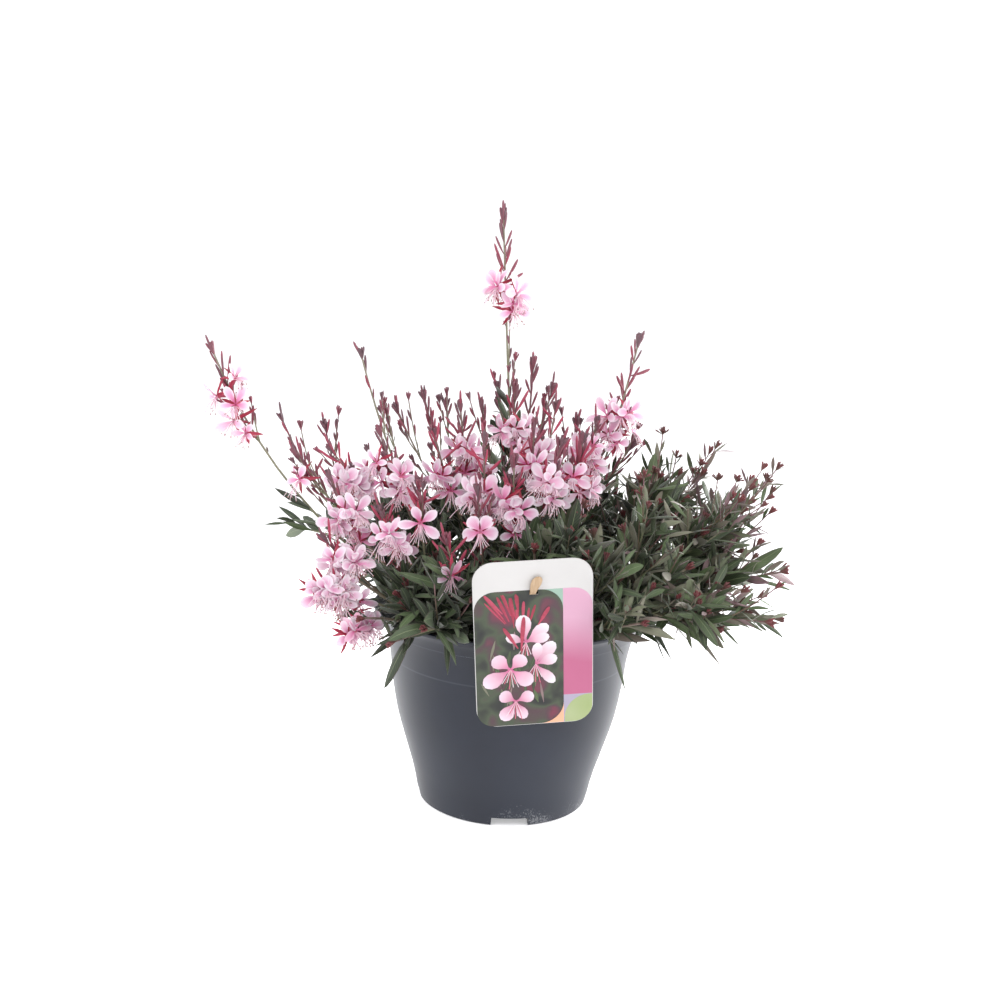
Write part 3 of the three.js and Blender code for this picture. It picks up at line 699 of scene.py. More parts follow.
def turn_profile(outline: Sequence[tuple[float, float]], sides: int) -> bpy.types.Object:
    """Raises a round body ring by ring from a disc, as edge extrusions scaled in turn, and closes it.

    Args:
        outline: radius and height of each ring, in millimetres.
        sides: how many sides a ring has.

    Returns:
        The body, in object mode.
    """
    (first_r, first_z), *others = outline
    lay_down()
    bpy.ops.mesh.primitive_circle_add(
        vertices=sides, radius=first_r * MM, fill_type="NGON", location=(0, 0, first_z * MM)
    )
    piece = bpy.context.object
    settle(piece)
    bpy.ops.object.mode_set(mode="EDIT")
    bpy.ops.mesh.select_mode(type="EDGE")
    bpy.ops.mesh.select_all(action="SELECT")
    sheet = bmesh.from_edit_mesh(piece.data)
    for face in sheet.faces:
        face.select = False
    for edge in sheet.edges:
        edge.select = True
    bmesh.update_edit_mesh(piece.data)
    last_r, last_z = first_r, first_z
    for r, z in others:
        bpy.ops.mesh.extrude_edges_move(
            TRANSFORM_OT_translate={"value": (0, 0, (z - last_z) * MM), "orient_type": "GLOBAL"}
        )
        share = r / last_r
        bpy.ops.transform.resize(value=(share, share, 1), center_override=(0, 0, z * MM))
        last_r, last_z = r, z
    bpy.ops.mesh.edge_face_add()
    close_up()
    return piece


@dataclass(frozen=True)
class Template:
    """A shape that was modelled once, to be copied as often as the plant repeats it.

    Args:
        points: its vertices.
        corners: vertex numbers, face after face.
        sizes: how many corners each face has.
        uv: a place on the shape for each vertex: across it, and along it from 0 to 1.
    """

    points: np.ndarray
    corners: np.ndarray
    sizes: np.ndarray
    uv: np.ndarray

    @classmethod
    def lift(cls, piece: bpy.types.Object, uv_of: Callable[[np.ndarray], np.ndarray]) -> "Template":
        """Reads a modelled piece and clears it from the scene.

        Args:
            piece: the modelled piece.
            uv_of: gives the place on the shape of each vertex.

        Returns:
            The template.
        """
        mesh = piece.data
        points = np.empty(len(mesh.vertices) * 3)
        mesh.vertices.foreach_get("co", points)
        corners = np.empty(len(mesh.loops), int)
        mesh.loops.foreach_get("vertex_index", corners)
        sizes = np.empty(len(mesh.polygons), int)
        mesh.polygons.foreach_get("loop_total", sizes)
        points = points.reshape(-1, 3)
        bpy.data.objects.remove(piece)
        bpy.data.meshes.remove(mesh)
        return cls(points, corners, sizes, uv_of(points))


@dataclass(frozen=True)
class Blade:
    """A flat part of the plant: x across it, y along it from 0 to 1, z out of its upper face.

    Args:
        rows: share of the length, share of the half width.
        columns: faces from edge to edge.
        fold: how far the edges stand above the rib, as a share of the half width.
        thickness: as a share of the half width.
        frill: how far the edges wave.
    """

    rows: tuple[tuple[float, float], ...]
    columns: int = 2
    fold: float = 0.25
    thickness: float = 0.1
    frill: float = 0.0

    @cached_property
    def template(self) -> Template:
        """The blade, modelled on first use from a grid, row by row, and then given its thickness."""
        away = 10.0
        lay_down()
        bpy.ops.mesh.primitive_grid_add(
            x_subdivisions=self.columns, y_subdivisions=len(self.rows) - 1, size=2.0, location=(0, away, 0)
        )
        piece = bpy.context.object
        settle(piece)
        columns = sorted({round(v.co.x, 4) for v in piece.data.vertices})
        rows = sorted({round(v.co.y, 4) for v in piece.data.vertices})
        bpy.ops.object.mode_set(mode="EDIT")
        for x in columns:
            choose(piece, lambda co, x=x: abs(co.x - x) < 1e-3)
            bpy.ops.transform.translate(value=(0, 0, self.fold * abs(x) ** 1.6))
        for i, (y, (share, width)) in enumerate(zip(rows, self.rows)):
            choose(piece, lambda co, y=y: abs(co.y - y) < 1e-3)
            bpy.ops.transform.resize(value=(width, 1, width), center_override=(0, y, 0))
            bpy.ops.transform.translate(value=(0, share - y, 0))
            if self.frill:
                lift = self.frill * width * (1 if i % 2 else -1)
                choose(piece, lambda co, s=share, w=width: abs(co.y - s) < 1e-3 and abs(co.x) > 0.8 * w)
                bpy.ops.transform.translate(value=(0, 0, lift))
        bpy.ops.object.mode_set(mode="OBJECT")
        finish_off(piece, "SOLIDIFY", thickness=self.thickness, offset=0.0)
        shares, widths = zip(*self.rows)

        def uv_of(points: np.ndarray) -> np.ndarray:
            """Returns each point's place between the blade's edges and along its rib."""
            along = np.clip(points[:, 1], 0, 1)
            half = np.maximum(np.interp(along, shares, widths), 1e-3)
            return np.stack([np.clip(0.5 + 0.5 * points[:, 0] / half, 0, 1), along], 1)

        return Template.lift(piece, uv_of)


@dataclass(frozen=True)
class Rod:
    """A round part of the plant: x and y across it, z along it from 0 to 1.

    Args:
        rings: share of the length, share of the radius.
        sides: how many sides it has.
    """

    rings: tuple[tuple[float, float], ...]
    sides: int = 6

    @cached_property
    def template(self) -> Template:
        """The rod, modelled on first use from a disc by extruding and scaling its face, ring by ring."""
        (first, radius), *others = self.rings
        lay_down()
        bpy.ops.mesh.primitive_circle_add(
            vertices=self.sides, radius=radius, fill_type="NGON", location=(0, 0, first)
        )
        piece = bpy.context.object
        settle(piece)
        bpy.ops.object.mode_set(mode="EDIT")
        bpy.ops.mesh.select_mode(type="FACE")
        bpy.ops.mesh.select_all(action="SELECT")
        for share, wide in others:
            bpy.ops.mesh.extrude_region_move(
                TRANSFORM_OT_translate={"value": (0, 0, share - first), "orient_type": "GLOBAL"}
            )
            bpy.ops.transform.resize(value=(wide / radius, wide / radius, 1), center_override=(0, 0, share))
            first, radius = share, wide
        close_up()

        def uv_of(points: np.ndarray) -> np.ndarray:
            """Returns each point's place round the rod and along it."""
            round_it = np.abs(np.arctan2(points[:, 1], points[:, 0])) / math.pi
            return np.stack([round_it, np.clip(points[:, 2], 0, 1)], 1)

        return Template.lift(piece, uv_of)


LEAF_FORM = Blade(
    ((0.0, 0.12), (0.16, 0.42), (0.36, 0.9), (0.56, 1.0), (0.76, 0.74), (0.9, 0.36), (1.0, 0.02)), fold=0.3
)
BROAD_LEAF_FORM = Blade(
    ((0.0, 0.14), (0.15, 0.5), (0.35, 0.92), (0.6, 1.04), (0.82, 0.78), (0.94, 0.4), (1.0, 0.05)), fold=0.22
)
PETAL_FORM = Blade(
    (
        *((0.0, 0.14), (0.17, 0.15), (0.32, 0.42), (0.5, 0.84)),
        *((0.69, 1.0), (0.86, 0.84), (0.96, 0.5), (1.0, 0.2)),
    ),
    columns=4,
    fold=0.16,
    thickness=0.05,
    frill=0.06,
)
SEPAL_FORM = Blade(((0.0, 0.7), (0.3, 1.0), (0.7, 0.85), (1.0, 0.12)), fold=0.5, thickness=0.35)
BUD_FORM = Rod(((0.0, 0.3), (0.16, 0.42), (0.4, 0.8), (0.66, 1.0), (0.86, 0.88), (0.96, 0.58), (1.0, 0.2)))
TUFT_BUD_FORM = Rod(((0.0, 0.4), (0.4, 0.75), (0.78, 1.0), (0.95, 0.75), (1.0, 0.3)), sides=5)
STEM_FORM = Rod(tuple((i / 12, 1.0) for i in range(13)), sides=7)
TWIG_FORM = Rod(tuple((i / 5, 1.0) for i in range(6)), sides=5)
TUBE_FORM = Rod(((0.0, 0.55), (0.12, 0.95), (0.3, 1.15), (0.45, 0.8), (0.75, 0.7), (0.92, 1.0), (1.0, 1.5)))
FILAMENT_FORM = Rod(tuple((i / 5, 1.0) for i in range(6)), sides=4)
ANTHER_FORM = Rod(((0.0, 0.35), (0.25, 1.0), (0.75, 1.0), (1.0, 0.35)), sides=5)
CRUMB_FORM = Rod(((0.0, 0.5), (0.3, 1.0), (0.7, 0.85), (1.0, 0.4)), sides=5)


# The part's own growth


@dataclass(frozen=True)
class Spike:
    """One stem of a plant, as the part has it.

    Args:
        tip: where it ends.
        start: share of the main stem's length where a fork leaves it.
        bow: how far it swings out before it rises.
        flowers: share of the spike and bearing of each open flower.
    """

    tip: tuple[float, float, float]
    start: float = 0.0
    bow: float = 0.04
    flowers: tuple[tuple[float, float], ...] = ()


@dataclass
class Stem:
    """A stem's centreline, which swings outwards by its bow and rises to its tip.

    Args:
        start: where it begins.
        spike: its plan.
        thick: radius at its foot.
        thin: radius at its tip.
    """

    start: np.ndarray
    spike: Spike
    thick: float
    thin: float
    bend: np.ndarray = field(init=False)
    tip: np.ndarray = field(init=False)
    steps: int = field(init=False)

    # How far the part's straight runs may leave the curve
    ERROR = 0.5

    def __post_init__(self) -> None:
        """Works out the curve's middle point and the part's number of straight runs."""
        self.tip = np.array(self.spike.tip, float)
        reach = self.tip - self.start
        bow = self.spike.bow
        self.bend = self.start + reach * np.array([0.5 + bow, 0.5 + bow, 0.5 - bow])
        error = abs(bow) * float(np.linalg.norm(reach)) / (2 * self.ERROR)
        self.steps = max(2, math.ceil(math.sqrt(error)))

    def at(self, t: float | np.ndarray) -> np.ndarray:
        """Returns the point, or points, at a share of the length."""
        return curve(self.start, self.bend, self.tip, t)

    def seat(self, t: float) -> np.ndarray:
        """Returns the point on the part's straight runs where growth is seated."""
        run = min(math.floor(t * self.steps), self.steps - 1)
        near, far = self.at(run / self.steps), self.at((run + 1) / self.steps)
        return near + (far - near) * (t * self.steps - run)

    def along(self, t: float | np.ndarray) -> np.ndarray:
        """Returns the unit direction of the stem."""
        s = np.clip(np.asarray(t, float), 0.0, 1.0)
        low, high = np.maximum(s - 1e-4, 0), np.minimum(s + 1e-4, 1)
        return unit(self.at(high) - self.at(low))

    def radius(self, t: float | np.ndarray) -> float | np.ndarray:
        """Returns the stem's radius."""
        return self.thick + (self.thin - self.thick) * t

    def facing(self, t: float, bearing: float) -> np.ndarray:
        """Returns the direction square to the stem that faces a bearing."""
        along, out = self.along(t), compass(bearing)
        return unit(out - along * out.dot(along))

    def branch(self, t: float, lean: float, bearing: float, length: float, rise: float = 0.3) -> "Stem":
        """Grows a side shoot.

        Args:
            t: share of this stem's length where it starts.
            lean: degrees from the stem.
            bearing: the way it leaves.
            length: its length.
            rise: how strongly it turns upwards.

        Returns:
            The side shoot.
        """
        start, way = self.at(t), tilt(self.along(t), self.facing(t, bearing), lean, rise)
        thick = min(0.8, float(self.radius(t)) * 0.75)
        return Stem(start, Spike(tuple(start + way * length), bow=0.08), thick, 0.45)


@dataclass(frozen=True)
class Plan:
    """Where a plant stands in the soil and what grows from there."""

    foot: tuple[float, float]
    spikes: tuple[Spike, ...]

    SOIL_R = 84.0
    SOIL_TOP = 126.0
    SOIL_EDGE = 121.0
    # A fork is this much thinner than its stem
    FORK_SHRINK = 0.8

    @classmethod
    def soil_height(cls, r: float | np.ndarray) -> float | np.ndarray:
        """Returns the height of the soil at a distance from the pot's axis."""
        return cls.SOIL_TOP - (cls.SOIL_TOP - cls.SOIL_EDGE) * (r / cls.SOIL_R) ** 2

    def stems(self, thick: float, thin: float) -> list[Stem]:
        """Returns the main stem and its forks.

        Args:
            thick: the main stem's radius at its foot.
            thin: its radius at its tip.

        Returns:
            The stems, the main one first.
        """
        x, y = self.foot
        main = Stem(np.array([x, y, self.soil_height(math.hypot(x, y))]), self.spikes[0], thick, thin)
        thick, thin = thick * self.FORK_SHRINK, thin * self.FORK_SHRINK
        return [main] + [Stem(main.at(fork.start), fork, thick, thin) for fork in self.spikes[1:]]


def wand(foot: tuple[float, float], *spikes: tuple) -> Plan:
    """Returns a plan from short rows of start, tip, bow and flowers."""
    return Plan(foot, tuple(Spike(tip, start, bow, tuple(flowers)) for start, tip, bow, flowers in spikes))


# Each plant's foot, then the start, tip, bow and flowers of each spike
WANDS = (
    wand((6, 8), (0, (-17, 20, 402), 0.04, [(0.82, 235), (0.8, 310), (0.77, 270)])),
    wand((-30, -5), (0, (-206, -12, 306), 0.2, [(0.86, 200), (0.84, 300), (0.81, 250)])),
    wand((22, 8), (0, (79, 20, 322), 0.1, [(0.75, 225), (0.77, 300), (0.73, 340), (0.7, 260)])),
    wand((27, -2), (0, (52, -2, 268), 0.04, [(0.84, 225), (0.8, 300), (0.76, 265)])),
    wand(
        (10, -20),
        (0, (10, -38, 270), 0.04, [(0.8, 250), (0.77, 300)]),
        (0.35, (24, -4, 278), 0.04, [(0.66, 250), (0.62, 305)]),
    ),
    wand(
        (2, -36),
        (0, (-2, -60, 248), 0.06, [(0.79, 235), (0.76, 275), (0.71, 305)]),
        (0.3, (28, -46, 260), 0.04, [(0.68, 255), (0.62, 300)]),
    ),
    wand(
        (-10, -38),
        (0, (-24, -74, 230), 0.1, [(0.79, 272)]),
        (0.35, (-22, -48, 260), 0.04, [(0.64, 235), (0.6, 285)]),
    ),
    wand(
        (-18, -6),
        (0, (-40, -4, 274), 0.04, [(0.8, 240), (0.77, 290), (0.74, 320)]),
        (0.3, (-56, -28, 260), 0.04, [(0.7, 240), (0.64, 290)]),
    ),
    wand(
        (-3, -2),
        (0, (-4, 10, 288), 0.04, [(0.8, 225), (0.76, 275), (0.78, 320)]),
        (0.3, (-26, 4, 276), 0.04, []),
    ),
    wand(
        (-24, -20),
        (0, (-90, -40, 260), 0.1, [(0.8, 215), (0.77, 262), (0.74, 305)]),
        (0.4, (-122, -34, 246), 0.04, [(0.76, 240), (0.7, 290)]),
    ),
    wand(
        (-32, -26),
        (0, (-120, -56, 232), 0.14, [(0.8, 230), (0.77, 272), (0.74, 305)]),
        (0.5, (-146, -30, 242), 0.04, [(0.8, 225)]),
    ),
    wand(
        (-28, -38),
        (0, (-86, -66, 214), 0.1, [(0.82, 240), (0.78, 290)]),
        (0.4, (-62, -68, 232), 0.04, [(0.66, 272)]),
    ),
    wand(
        (-38, -40),
        (0, (-123, -80, 166), -0.1, [(0.86, 280), (0.81, 300), (0.76, 275), (0.91, 260)]),
        (0.4, (-120, -70, 194), 0.04, [(0.78, 250), (0.7, 285), (0.64, 310)]),
    ),
    wand((-16, -50), (0, (-42, -92, 202), 0.06, [(0.74, 262)])),
    wand((26, -18), (0, (42, -38, 262), 0.04, [(0.8, 240), (0.77, 295)])),
    wand((-28, 18), (0, (-112, 30, 304), 0.12, []), (0.45, (-96, 42, 266), 0.04, [])),
    wand((-38, 6), (0, (-164, 16, 258), 0.18, []), (0.5, (-130, -12, 258), 0.04, [])),
    wand(
        (-14, 20),
        (0, (-67, 30, 276), 0.06, []),
        (0.5, (-52, 38, 270), 0.04, []),
        (0.4, (-84, 8, 270), 0.04, []),
    ),
    wand(
        (2, 24),
        (0, (8, 34, 302), 0.04, []),
        (0.5, (-16, 26, 286), 0.04, []),
        (0.55, (22, 42, 284), 0.04, []),
    ),
    wand(
        (18, 24),
        (0, (62, 30, 266), 0.04, []),
        (0.5, (40, 34, 262), 0.04, []),
        (0.5, (80, 34, 248), 0.04, []),
    ),
)


def leafy(foot: tuple[float, float], *spikes: tuple) -> Plan:
    """Returns a plan of a leafy plant from short rows of start, tip and bow."""
    return Plan(foot, tuple(Spike(tip, start, bow) for start, tip, bow in spikes))


# Each plant's foot, then the start, tip and bow of each stem
LEAFY_STEMS = (
    leafy((44, -10), (0, (182, -22, 176), -0.1), (0.36, (128, -56, 152), 0.04), (0.5, (146, 10, 184), 0.04)),
    leafy((40, 6), (0, (160, 0, 218), 0.1), (0.4, (126, -24, 200), 0.04), (0.5, (150, 36, 204), 0.04)),
    leafy((36, 24), (0, (114, 28, 230), 0.06), (0.35, (98, 4, 232), 0.04), (0.45, (124, 66, 205), 0.04)),
    leafy((38, -26), (0, (112, -66, 186), 0.02), (0.5, (134, -64, 146), -0.1), (0.45, (84, -60, 212), 0.04)),
    leafy((28, -44), (0, (82, -100, 158), -0.05), (0.35, (58, -84, 194), 0.04)),
    leafy((14, -46), (0, (14, -78, 196), 0.08), (0.4, (38, -74, 202), 0.04), (0.4, (-8, -74, 184), 0.04)),
    leafy((-30, -54), (0, (-52, -106, 150), -0.15), (0.4, (-30, -84, 172), 0.04)),
    leafy((-46, -50), (0, (-92, -98, 152), -0.24), (0.4, (-66, -84, 170), 0.04)),
    leafy((-48, -12), (0, (-120, -30, 172), 0.1), (0.4, (-86, -10, 196), 0.04)),
    leafy((-38, 28), (0, (-104, 64, 188), 0.08), (0.4, (-72, 92, 172), 0.04)),
    leafy((-4, 44), (0, (-14, 116, 190), 0.08), (0.4, (32, 112, 176), 0.04), (0.5, (-6, 76, 222), 0.04)),
    leafy((26, 42), (0, (84, 96, 194), 0.08), (0.4, (56, 58, 228), 0.04)),
)


def solid_corners(node: str) -> np.ndarray:
    """Returns the corners of a CAD node in millimetres."""
    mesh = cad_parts[node].data
    points = np.empty(len(mesh.vertices) * 3)
    mesh.vertices.foreach_get("co", points)
    return points.reshape(-1, 3) / MM


def best_try(tries: Iterable[tuple[object, np.ndarray]], corners: np.ndarray, needed: int) -> object | None:
    """Finds which try of a growing piece the part has.

    Args:
        tries: each try with the corners that it would have.
        corners: the corners of the part's node.
        needed: how many corners have to agree.

    Returns:
        The try, or None where the part went without the piece.
    """
    same = 0.05
    best, votes = None, needed - 1
    for one, points in tries:
        gaps = np.linalg.norm(corners[None, :, :] - points[:, None, :], axis=2).min(axis=1)
        found = int((gaps < same).sum())
        if found > votes:
            best, votes = one, found
    return best


@dataclass(frozen=True)
class Leaf:
    """One leaf: where it starts, which way it goes, its sizes, and how far its tip droops."""

    seat: np.ndarray
    heading: np.ndarray
    side: np.ndarray
    length: float
    half: float
    droop: float

    LENGTH = 36.0
    HALF_WIDTH = 4.2
    KEEL = 0.8
    SMALL = 0.9
    TRIES = 12

    @classmethod
    def of_part(cls, stem: Stem, t: float, key: int, attempt: int, scale: float) -> "Leaf":
        """Returns the leaf that the part's growth rule gives for a key and a try."""
        bearing = key * GOLDEN_ANGLE + attempt * 31 + between(-15, 15, key, attempt, 1)
        along, facing = stem.along(t), stem.facing(t, bearing)
        heading = tilt(along, facing, between(42, 72, key, attempt, 2))
        size = scale * between(0.72, 1.18, key, attempt, 3)
        side = unit(np.cross(along, facing))
        droop = between(0.1, 0.42, key, attempt, 4)
        return cls(stem.seat(t), heading, side, cls.LENGTH * size, cls.HALF_WIDTH * size, droop)

    def centre(self, s: float | np.ndarray) -> np.ndarray:
        """Returns the rib's point, or points, at a share of the length."""
        s = np.asarray(s, float)[..., None]
        return self.seat + self.heading * (self.length * s) - UP * (self.droop * self.length * s**2)

    def run(self, s: np.ndarray) -> np.ndarray:
        """Returns the rib's direction at each share of the length."""
        return unit(self.heading - UP * (2 * self.droop * np.asarray(s, float)[..., None]))

    def corners(self, small: bool) -> np.ndarray:
        """Returns the corners that the part's plain blade has."""
        points = [self.centre(1.0)]
        for s, share in ((0.48, 1.1),) if small else ((0.32, 1.0), (0.7, 0.8)):
            middle = self.centre(s)
            under = np.cross(self.run(s), self.side)
            points += [middle + self.side * self.half * share, middle - self.side * self.half * share]
            points.append(middle + under * self.KEEL)
        return np.array(points)


@dataclass(frozen=True)
class Bud:
    """One closed bud: where it starts, its direction and its length."""

    seat: np.ndarray
    heading: np.ndarray
    side: np.ndarray
    length: float

    LENGTH = 11.0
    RADIUS = 1.15
    TRIES = 5
    STRETCH = 0.16
    COUNT = 3

    @classmethod
    def of_part(cls, stem: Stem, t: float, key: int, attempt: int) -> "Bud":
        """Returns the bud that the part's growth rule gives for a key and a try."""
        bearing = key * GOLDEN_ANGLE + attempt * 47 + between(-20, 20, key, attempt, 5)
        along, facing = stem.along(t), stem.facing(t, bearing)
        heading = tilt(along, facing, 14 + 90 * (1 - t) + between(-5, 8, key, attempt, 6))
        side = unit(np.cross(along, facing))
        return cls(stem.seat(t), heading, side, cls.LENGTH * between(0.8, 1.15, key, attempt, 7))

    def corners(self) -> np.ndarray:
        """Returns the corners that the part's plain bud has."""
        over = np.cross(self.heading, self.side)
        middle = self.seat + self.heading * (self.length * 0.55)
        points = [self.seat + self.heading * self.length]
        for k in range(3):
            turn = 2 * math.pi * k / 3
            points.append(middle + self.RADIUS * (self.side * math.cos(turn) + over * math.sin(turn)))
        return np.array(points)


@dataclass(frozen=True)
class Flower:
    """One open flower: its throat, the way it faces, and where its tube and stamens are."""

    base: np.ndarray
    heart: np.ndarray
    face: np.ndarray
    top: np.ndarray
    size: float
    roll: float

    TRIES = 60
    SHIFT = 0.05
    PETAL_LENGTH = 14.0
    PETAL_HALF_WIDTH = 4.1
    CUP = 0.22
    THROAT_R = 2.4
    TUBE_LENGTH = 10.0
    STAND_OFF = 0.6
    BEARINGS = (-90, -30, 30, 90)

    @classmethod
    def of_part(cls, stem: Stem, t: float, bearing: float, key: int, attempt: int) -> "Flower":
        """Returns the flower that the part's growth rule gives for a key and a try."""
        if attempt:
            t += between(-cls.SHIFT, cls.SHIFT, key, attempt)
            bearing += between(-26, 26, key, attempt, 8)
        out = stem.facing(t, bearing)
        size = between(0.92, 1.08, key, attempt, 9)
        heading = tilt(out, stem.along(t), between(18, 40, key, attempt, 10))
        base = stem.seat(t) + out * (float(stem.radius(t)) + cls.STAND_OFF)
        heart = base + heading * (cls.TUBE_LENGTH * size)
        face = unit(out + UP * between(0.05, 0.4, key, attempt, 11))
        top = unit(UP - face * face[2])
        return cls(base, heart, face, top, size, between(-14, 14, key, attempt, 12))

    @property
    def right(self) -> np.ndarray:
        """The flower's own right, seen from behind it."""
        return np.cross(self.face, self.top)

    @property
    def mouth(self) -> np.ndarray:
        """Where the stamens leave the throat."""
        return self.heart - self.top * (self.THROAT_R / 2)

    def radial(self, angle: float) -> np.ndarray:
        """Returns the direction in the flower's plane at degrees from its top."""
        turn = math.radians(angle + self.roll)
        return self.top * math.cos(turn) + self.right * math.sin(turn)

    def corners(self) -> np.ndarray:
        """Returns the corners of the petals' rims that the part's plain flower has."""
        points = []
        for angle in self.BEARINGS:
            out = self.radial(angle)
            beside = np.cross(self.face, out) * (self.PETAL_HALF_WIDTH * self.size)
            for share, part in ((0.66, -1), (1.0, 0), (0.66, 1)):
                reach = self.PETAL_LENGTH * share * self.size
                points.append(self.heart + out * reach + beside * part + self.face * (self.CUP * reach))
        return np.array(points)


class Skin(Enum):
    """The finishes of growing parts, in the order of a grown piece's material slots."""

    STEM = WAND_SKIN
    LEAF = LEAF_SKIN
    BUD = BUD_SKIN
    PETAL = PETAL_SKIN
    SEPAL = SEPAL_SKIN
    TUBE = TUBE_SKIN
    FILAMENT = FILAMENT_SKIN
    ANTHER = ANTHER_SKIN
    PRINT = PRINTED_PETAL
    SHOOT = SHOOT_SKIN
    PEAT = PEAT_FILL


class Growth:
    """The mesh of one grown piece, gathered copy by copy from templates."""

    def __init__(self) -> None:
        """Starts an empty piece."""
        self.parts: list[tuple[np.ndarray, Template, Skin, float]] = []

    def put(self, template: Template, points: np.ndarray, skin: Skin, tint: float) -> None:
        """Adds a copy of a template whose vertices have been laid out.

        Args:
            template: the shape.
            points: its vertices in place, in millimetres.
            skin: its finish.
            tint: what sets it apart from the next copy, from 0 to 1.
        """
        self.parts.append((points, template, skin, min(max(tint, 0.0), 1.0)))

    def blade(
        self,
        template: Template,
        centre: np.ndarray,
        run: np.ndarray,
        side: np.ndarray,
        half: float,
        skin: Skin,
        tint: float,
        twist: float = 0.0,
    ) -> None:
        """Lays a blade along a rib.

        Args:
            template: the blade.
            centre: the rib's point for each vertex.
            run: the rib's direction for each vertex.
            side: the direction across the blade, to its left seen from its upper face.
            half: its half width.
            skin: its finish.
            tint: what sets it apart.
            twist: how far it turns about its rib by its tip, in degrees.
        """
        across = np.broadcast_to(-side, run.shape)
        out = unit(np.cross(across, run))
        turn = np.radians(twist) * template.points[:, 1:2]
        left = across * np.cos(turn) + out * np.sin(turn)
        upper = out * np.cos(turn) - across * np.sin(turn)
        points = centre + (left * template.points[:, 0:1] + upper * template.points[:, 2:3]) * half
        self.put(template, points, skin, tint)

    def rod(
        self,
        template: Template,
        centre: Callable[[np.ndarray], np.ndarray],
        radius: float | np.ndarray,
        skin: Skin,
        tint: float,
    ) -> None:
        """Lays a rod along a curve.

        Args:
            template: the rod.
            centre: gives the curve's points for shares of its length.
            radius: the rod's radius, for all vertices or for each.
            skin: its finish.
            tint: what sets it apart.
        """
        s = template.points[:, 2]
        step = 0.02
        run = unit(centre(np.minimum(s + step, 1.0)) - centre(np.maximum(s - step, 0.0)))
        aside = np.array([0.31, 0.95, 0.05]) if abs(run[0][1]) < 0.8 else np.array([0.95, 0.05, 0.31])
        across = unit(aside - run * (run @ aside)[:, None])
        over = np.cross(run, across)
        wide = np.broadcast_to(radius, s.shape)[:, None]
        points = centre(s) + wide * (across * template.points[:, 0:1] + over * template.points[:, 1:2])
        self.put(template, points, skin, tint)

    def make(self, name: str, slot: str, nodes: Sequence[str] = ()) -> bpy.types.Object:
        """Makes the piece's object.

        Args:
            name: its name.
            slot: the record's material slot; not used.
            nodes: the CAD nodes that it stands for.

        Returns:
            The object.
        """
        used = sorted({skin for _, _, skin, _ in self.parts}, key=list(Skin).index)
        counts = [len(points) for points, *_ in self.parts]
        offsets = np.concatenate([[0], np.cumsum(counts)[:-1]])
        points = np.concatenate([points for points, *_ in self.parts]) * MM
        corners = np.concatenate([t.corners + o for (_, t, _, _), o in zip(self.parts, offsets)])
        sizes = np.concatenate([t.sizes for _, t, _, _ in self.parts])
        places = np.concatenate([t.uv for _, t, _, _ in self.parts])
        tints = np.concatenate([np.full(n, part[3]) for n, part in zip(counts, self.parts)])
        slots = np.concatenate([np.full(len(t.sizes), used.index(skin)) for _, t, skin, _ in self.parts])
        mesh = bpy.data.meshes.new(name)
        mesh.vertices.add(len(points))
        mesh.vertices.foreach_set("co", points.ravel())
        mesh.loops.add(len(corners))
        mesh.loops.foreach_set("vertex_index", corners)
        mesh.polygons.add(len(sizes))
        mesh.polygons.foreach_set("loop_start", np.concatenate([[0], np.cumsum(sizes)[:-1]]))
        for skin in used:
            mesh.materials.append(skin.value.material())
        mesh.polygons.foreach_set("material_index", slots)
        mesh.update(calc_edges=True)
        mesh.uv_layers.new(name="growth").data.foreach_set("uv", places[corners].ravel())
        mesh.attributes.new("tint", "FLOAT", "POINT").data.foreach_set("value", tints)
        piece = bpy.data.objects.new(name, mesh)
        bpy.context.scene.collection.objects.link(piece)
        return hand_over(piece, name, nodes=nodes, smooth=50)


def has_room(points: np.ndarray) -> bool:
    """Tells whether growth keeps clear of pot, soil, label and flowers in front, and near the part's box.

    Args:
        points: points in millimetres.

    Returns:
        True if they do.
    """
    x, y, z = points.T
    r = np.hypot(x, y)
    inwards, outwards, over = WALL_CLEAR
    lip = NurseryPot.LIP_R
    wall = (z < NurseryPot.HEIGHT + over) & (r > lip - inwards) & (r < lip + outwards)
    soil = (r <= Plan.SOIL_R) & (z < Plan.soil_height(r) - 1)
    across, up, out = PlantLabel.in_card(points).T
    half_width, half_height, behind = LABEL_CLEAR
    label = (np.abs(across) < half_width) & (np.abs(up) < half_height) & (out > behind)
    lone, hanging = LONE_FLOWER, HANGING_FLOWERS
    bloom = (np.hypot(x - lone[0], z - lone[2]) < LONE_CLEAR) & (y < lone[1])
    bloom |= (x < hanging[0]) & (y < hanging[1]) & (z < hanging[2])
    low, high = (np.array(corner) / MM for corner in CAD_BOX)
    outside = ((points < low - REACH) | (points > high + REACH)).any(axis=1)
    return not (wall | soil | label | bloom | outside).any()


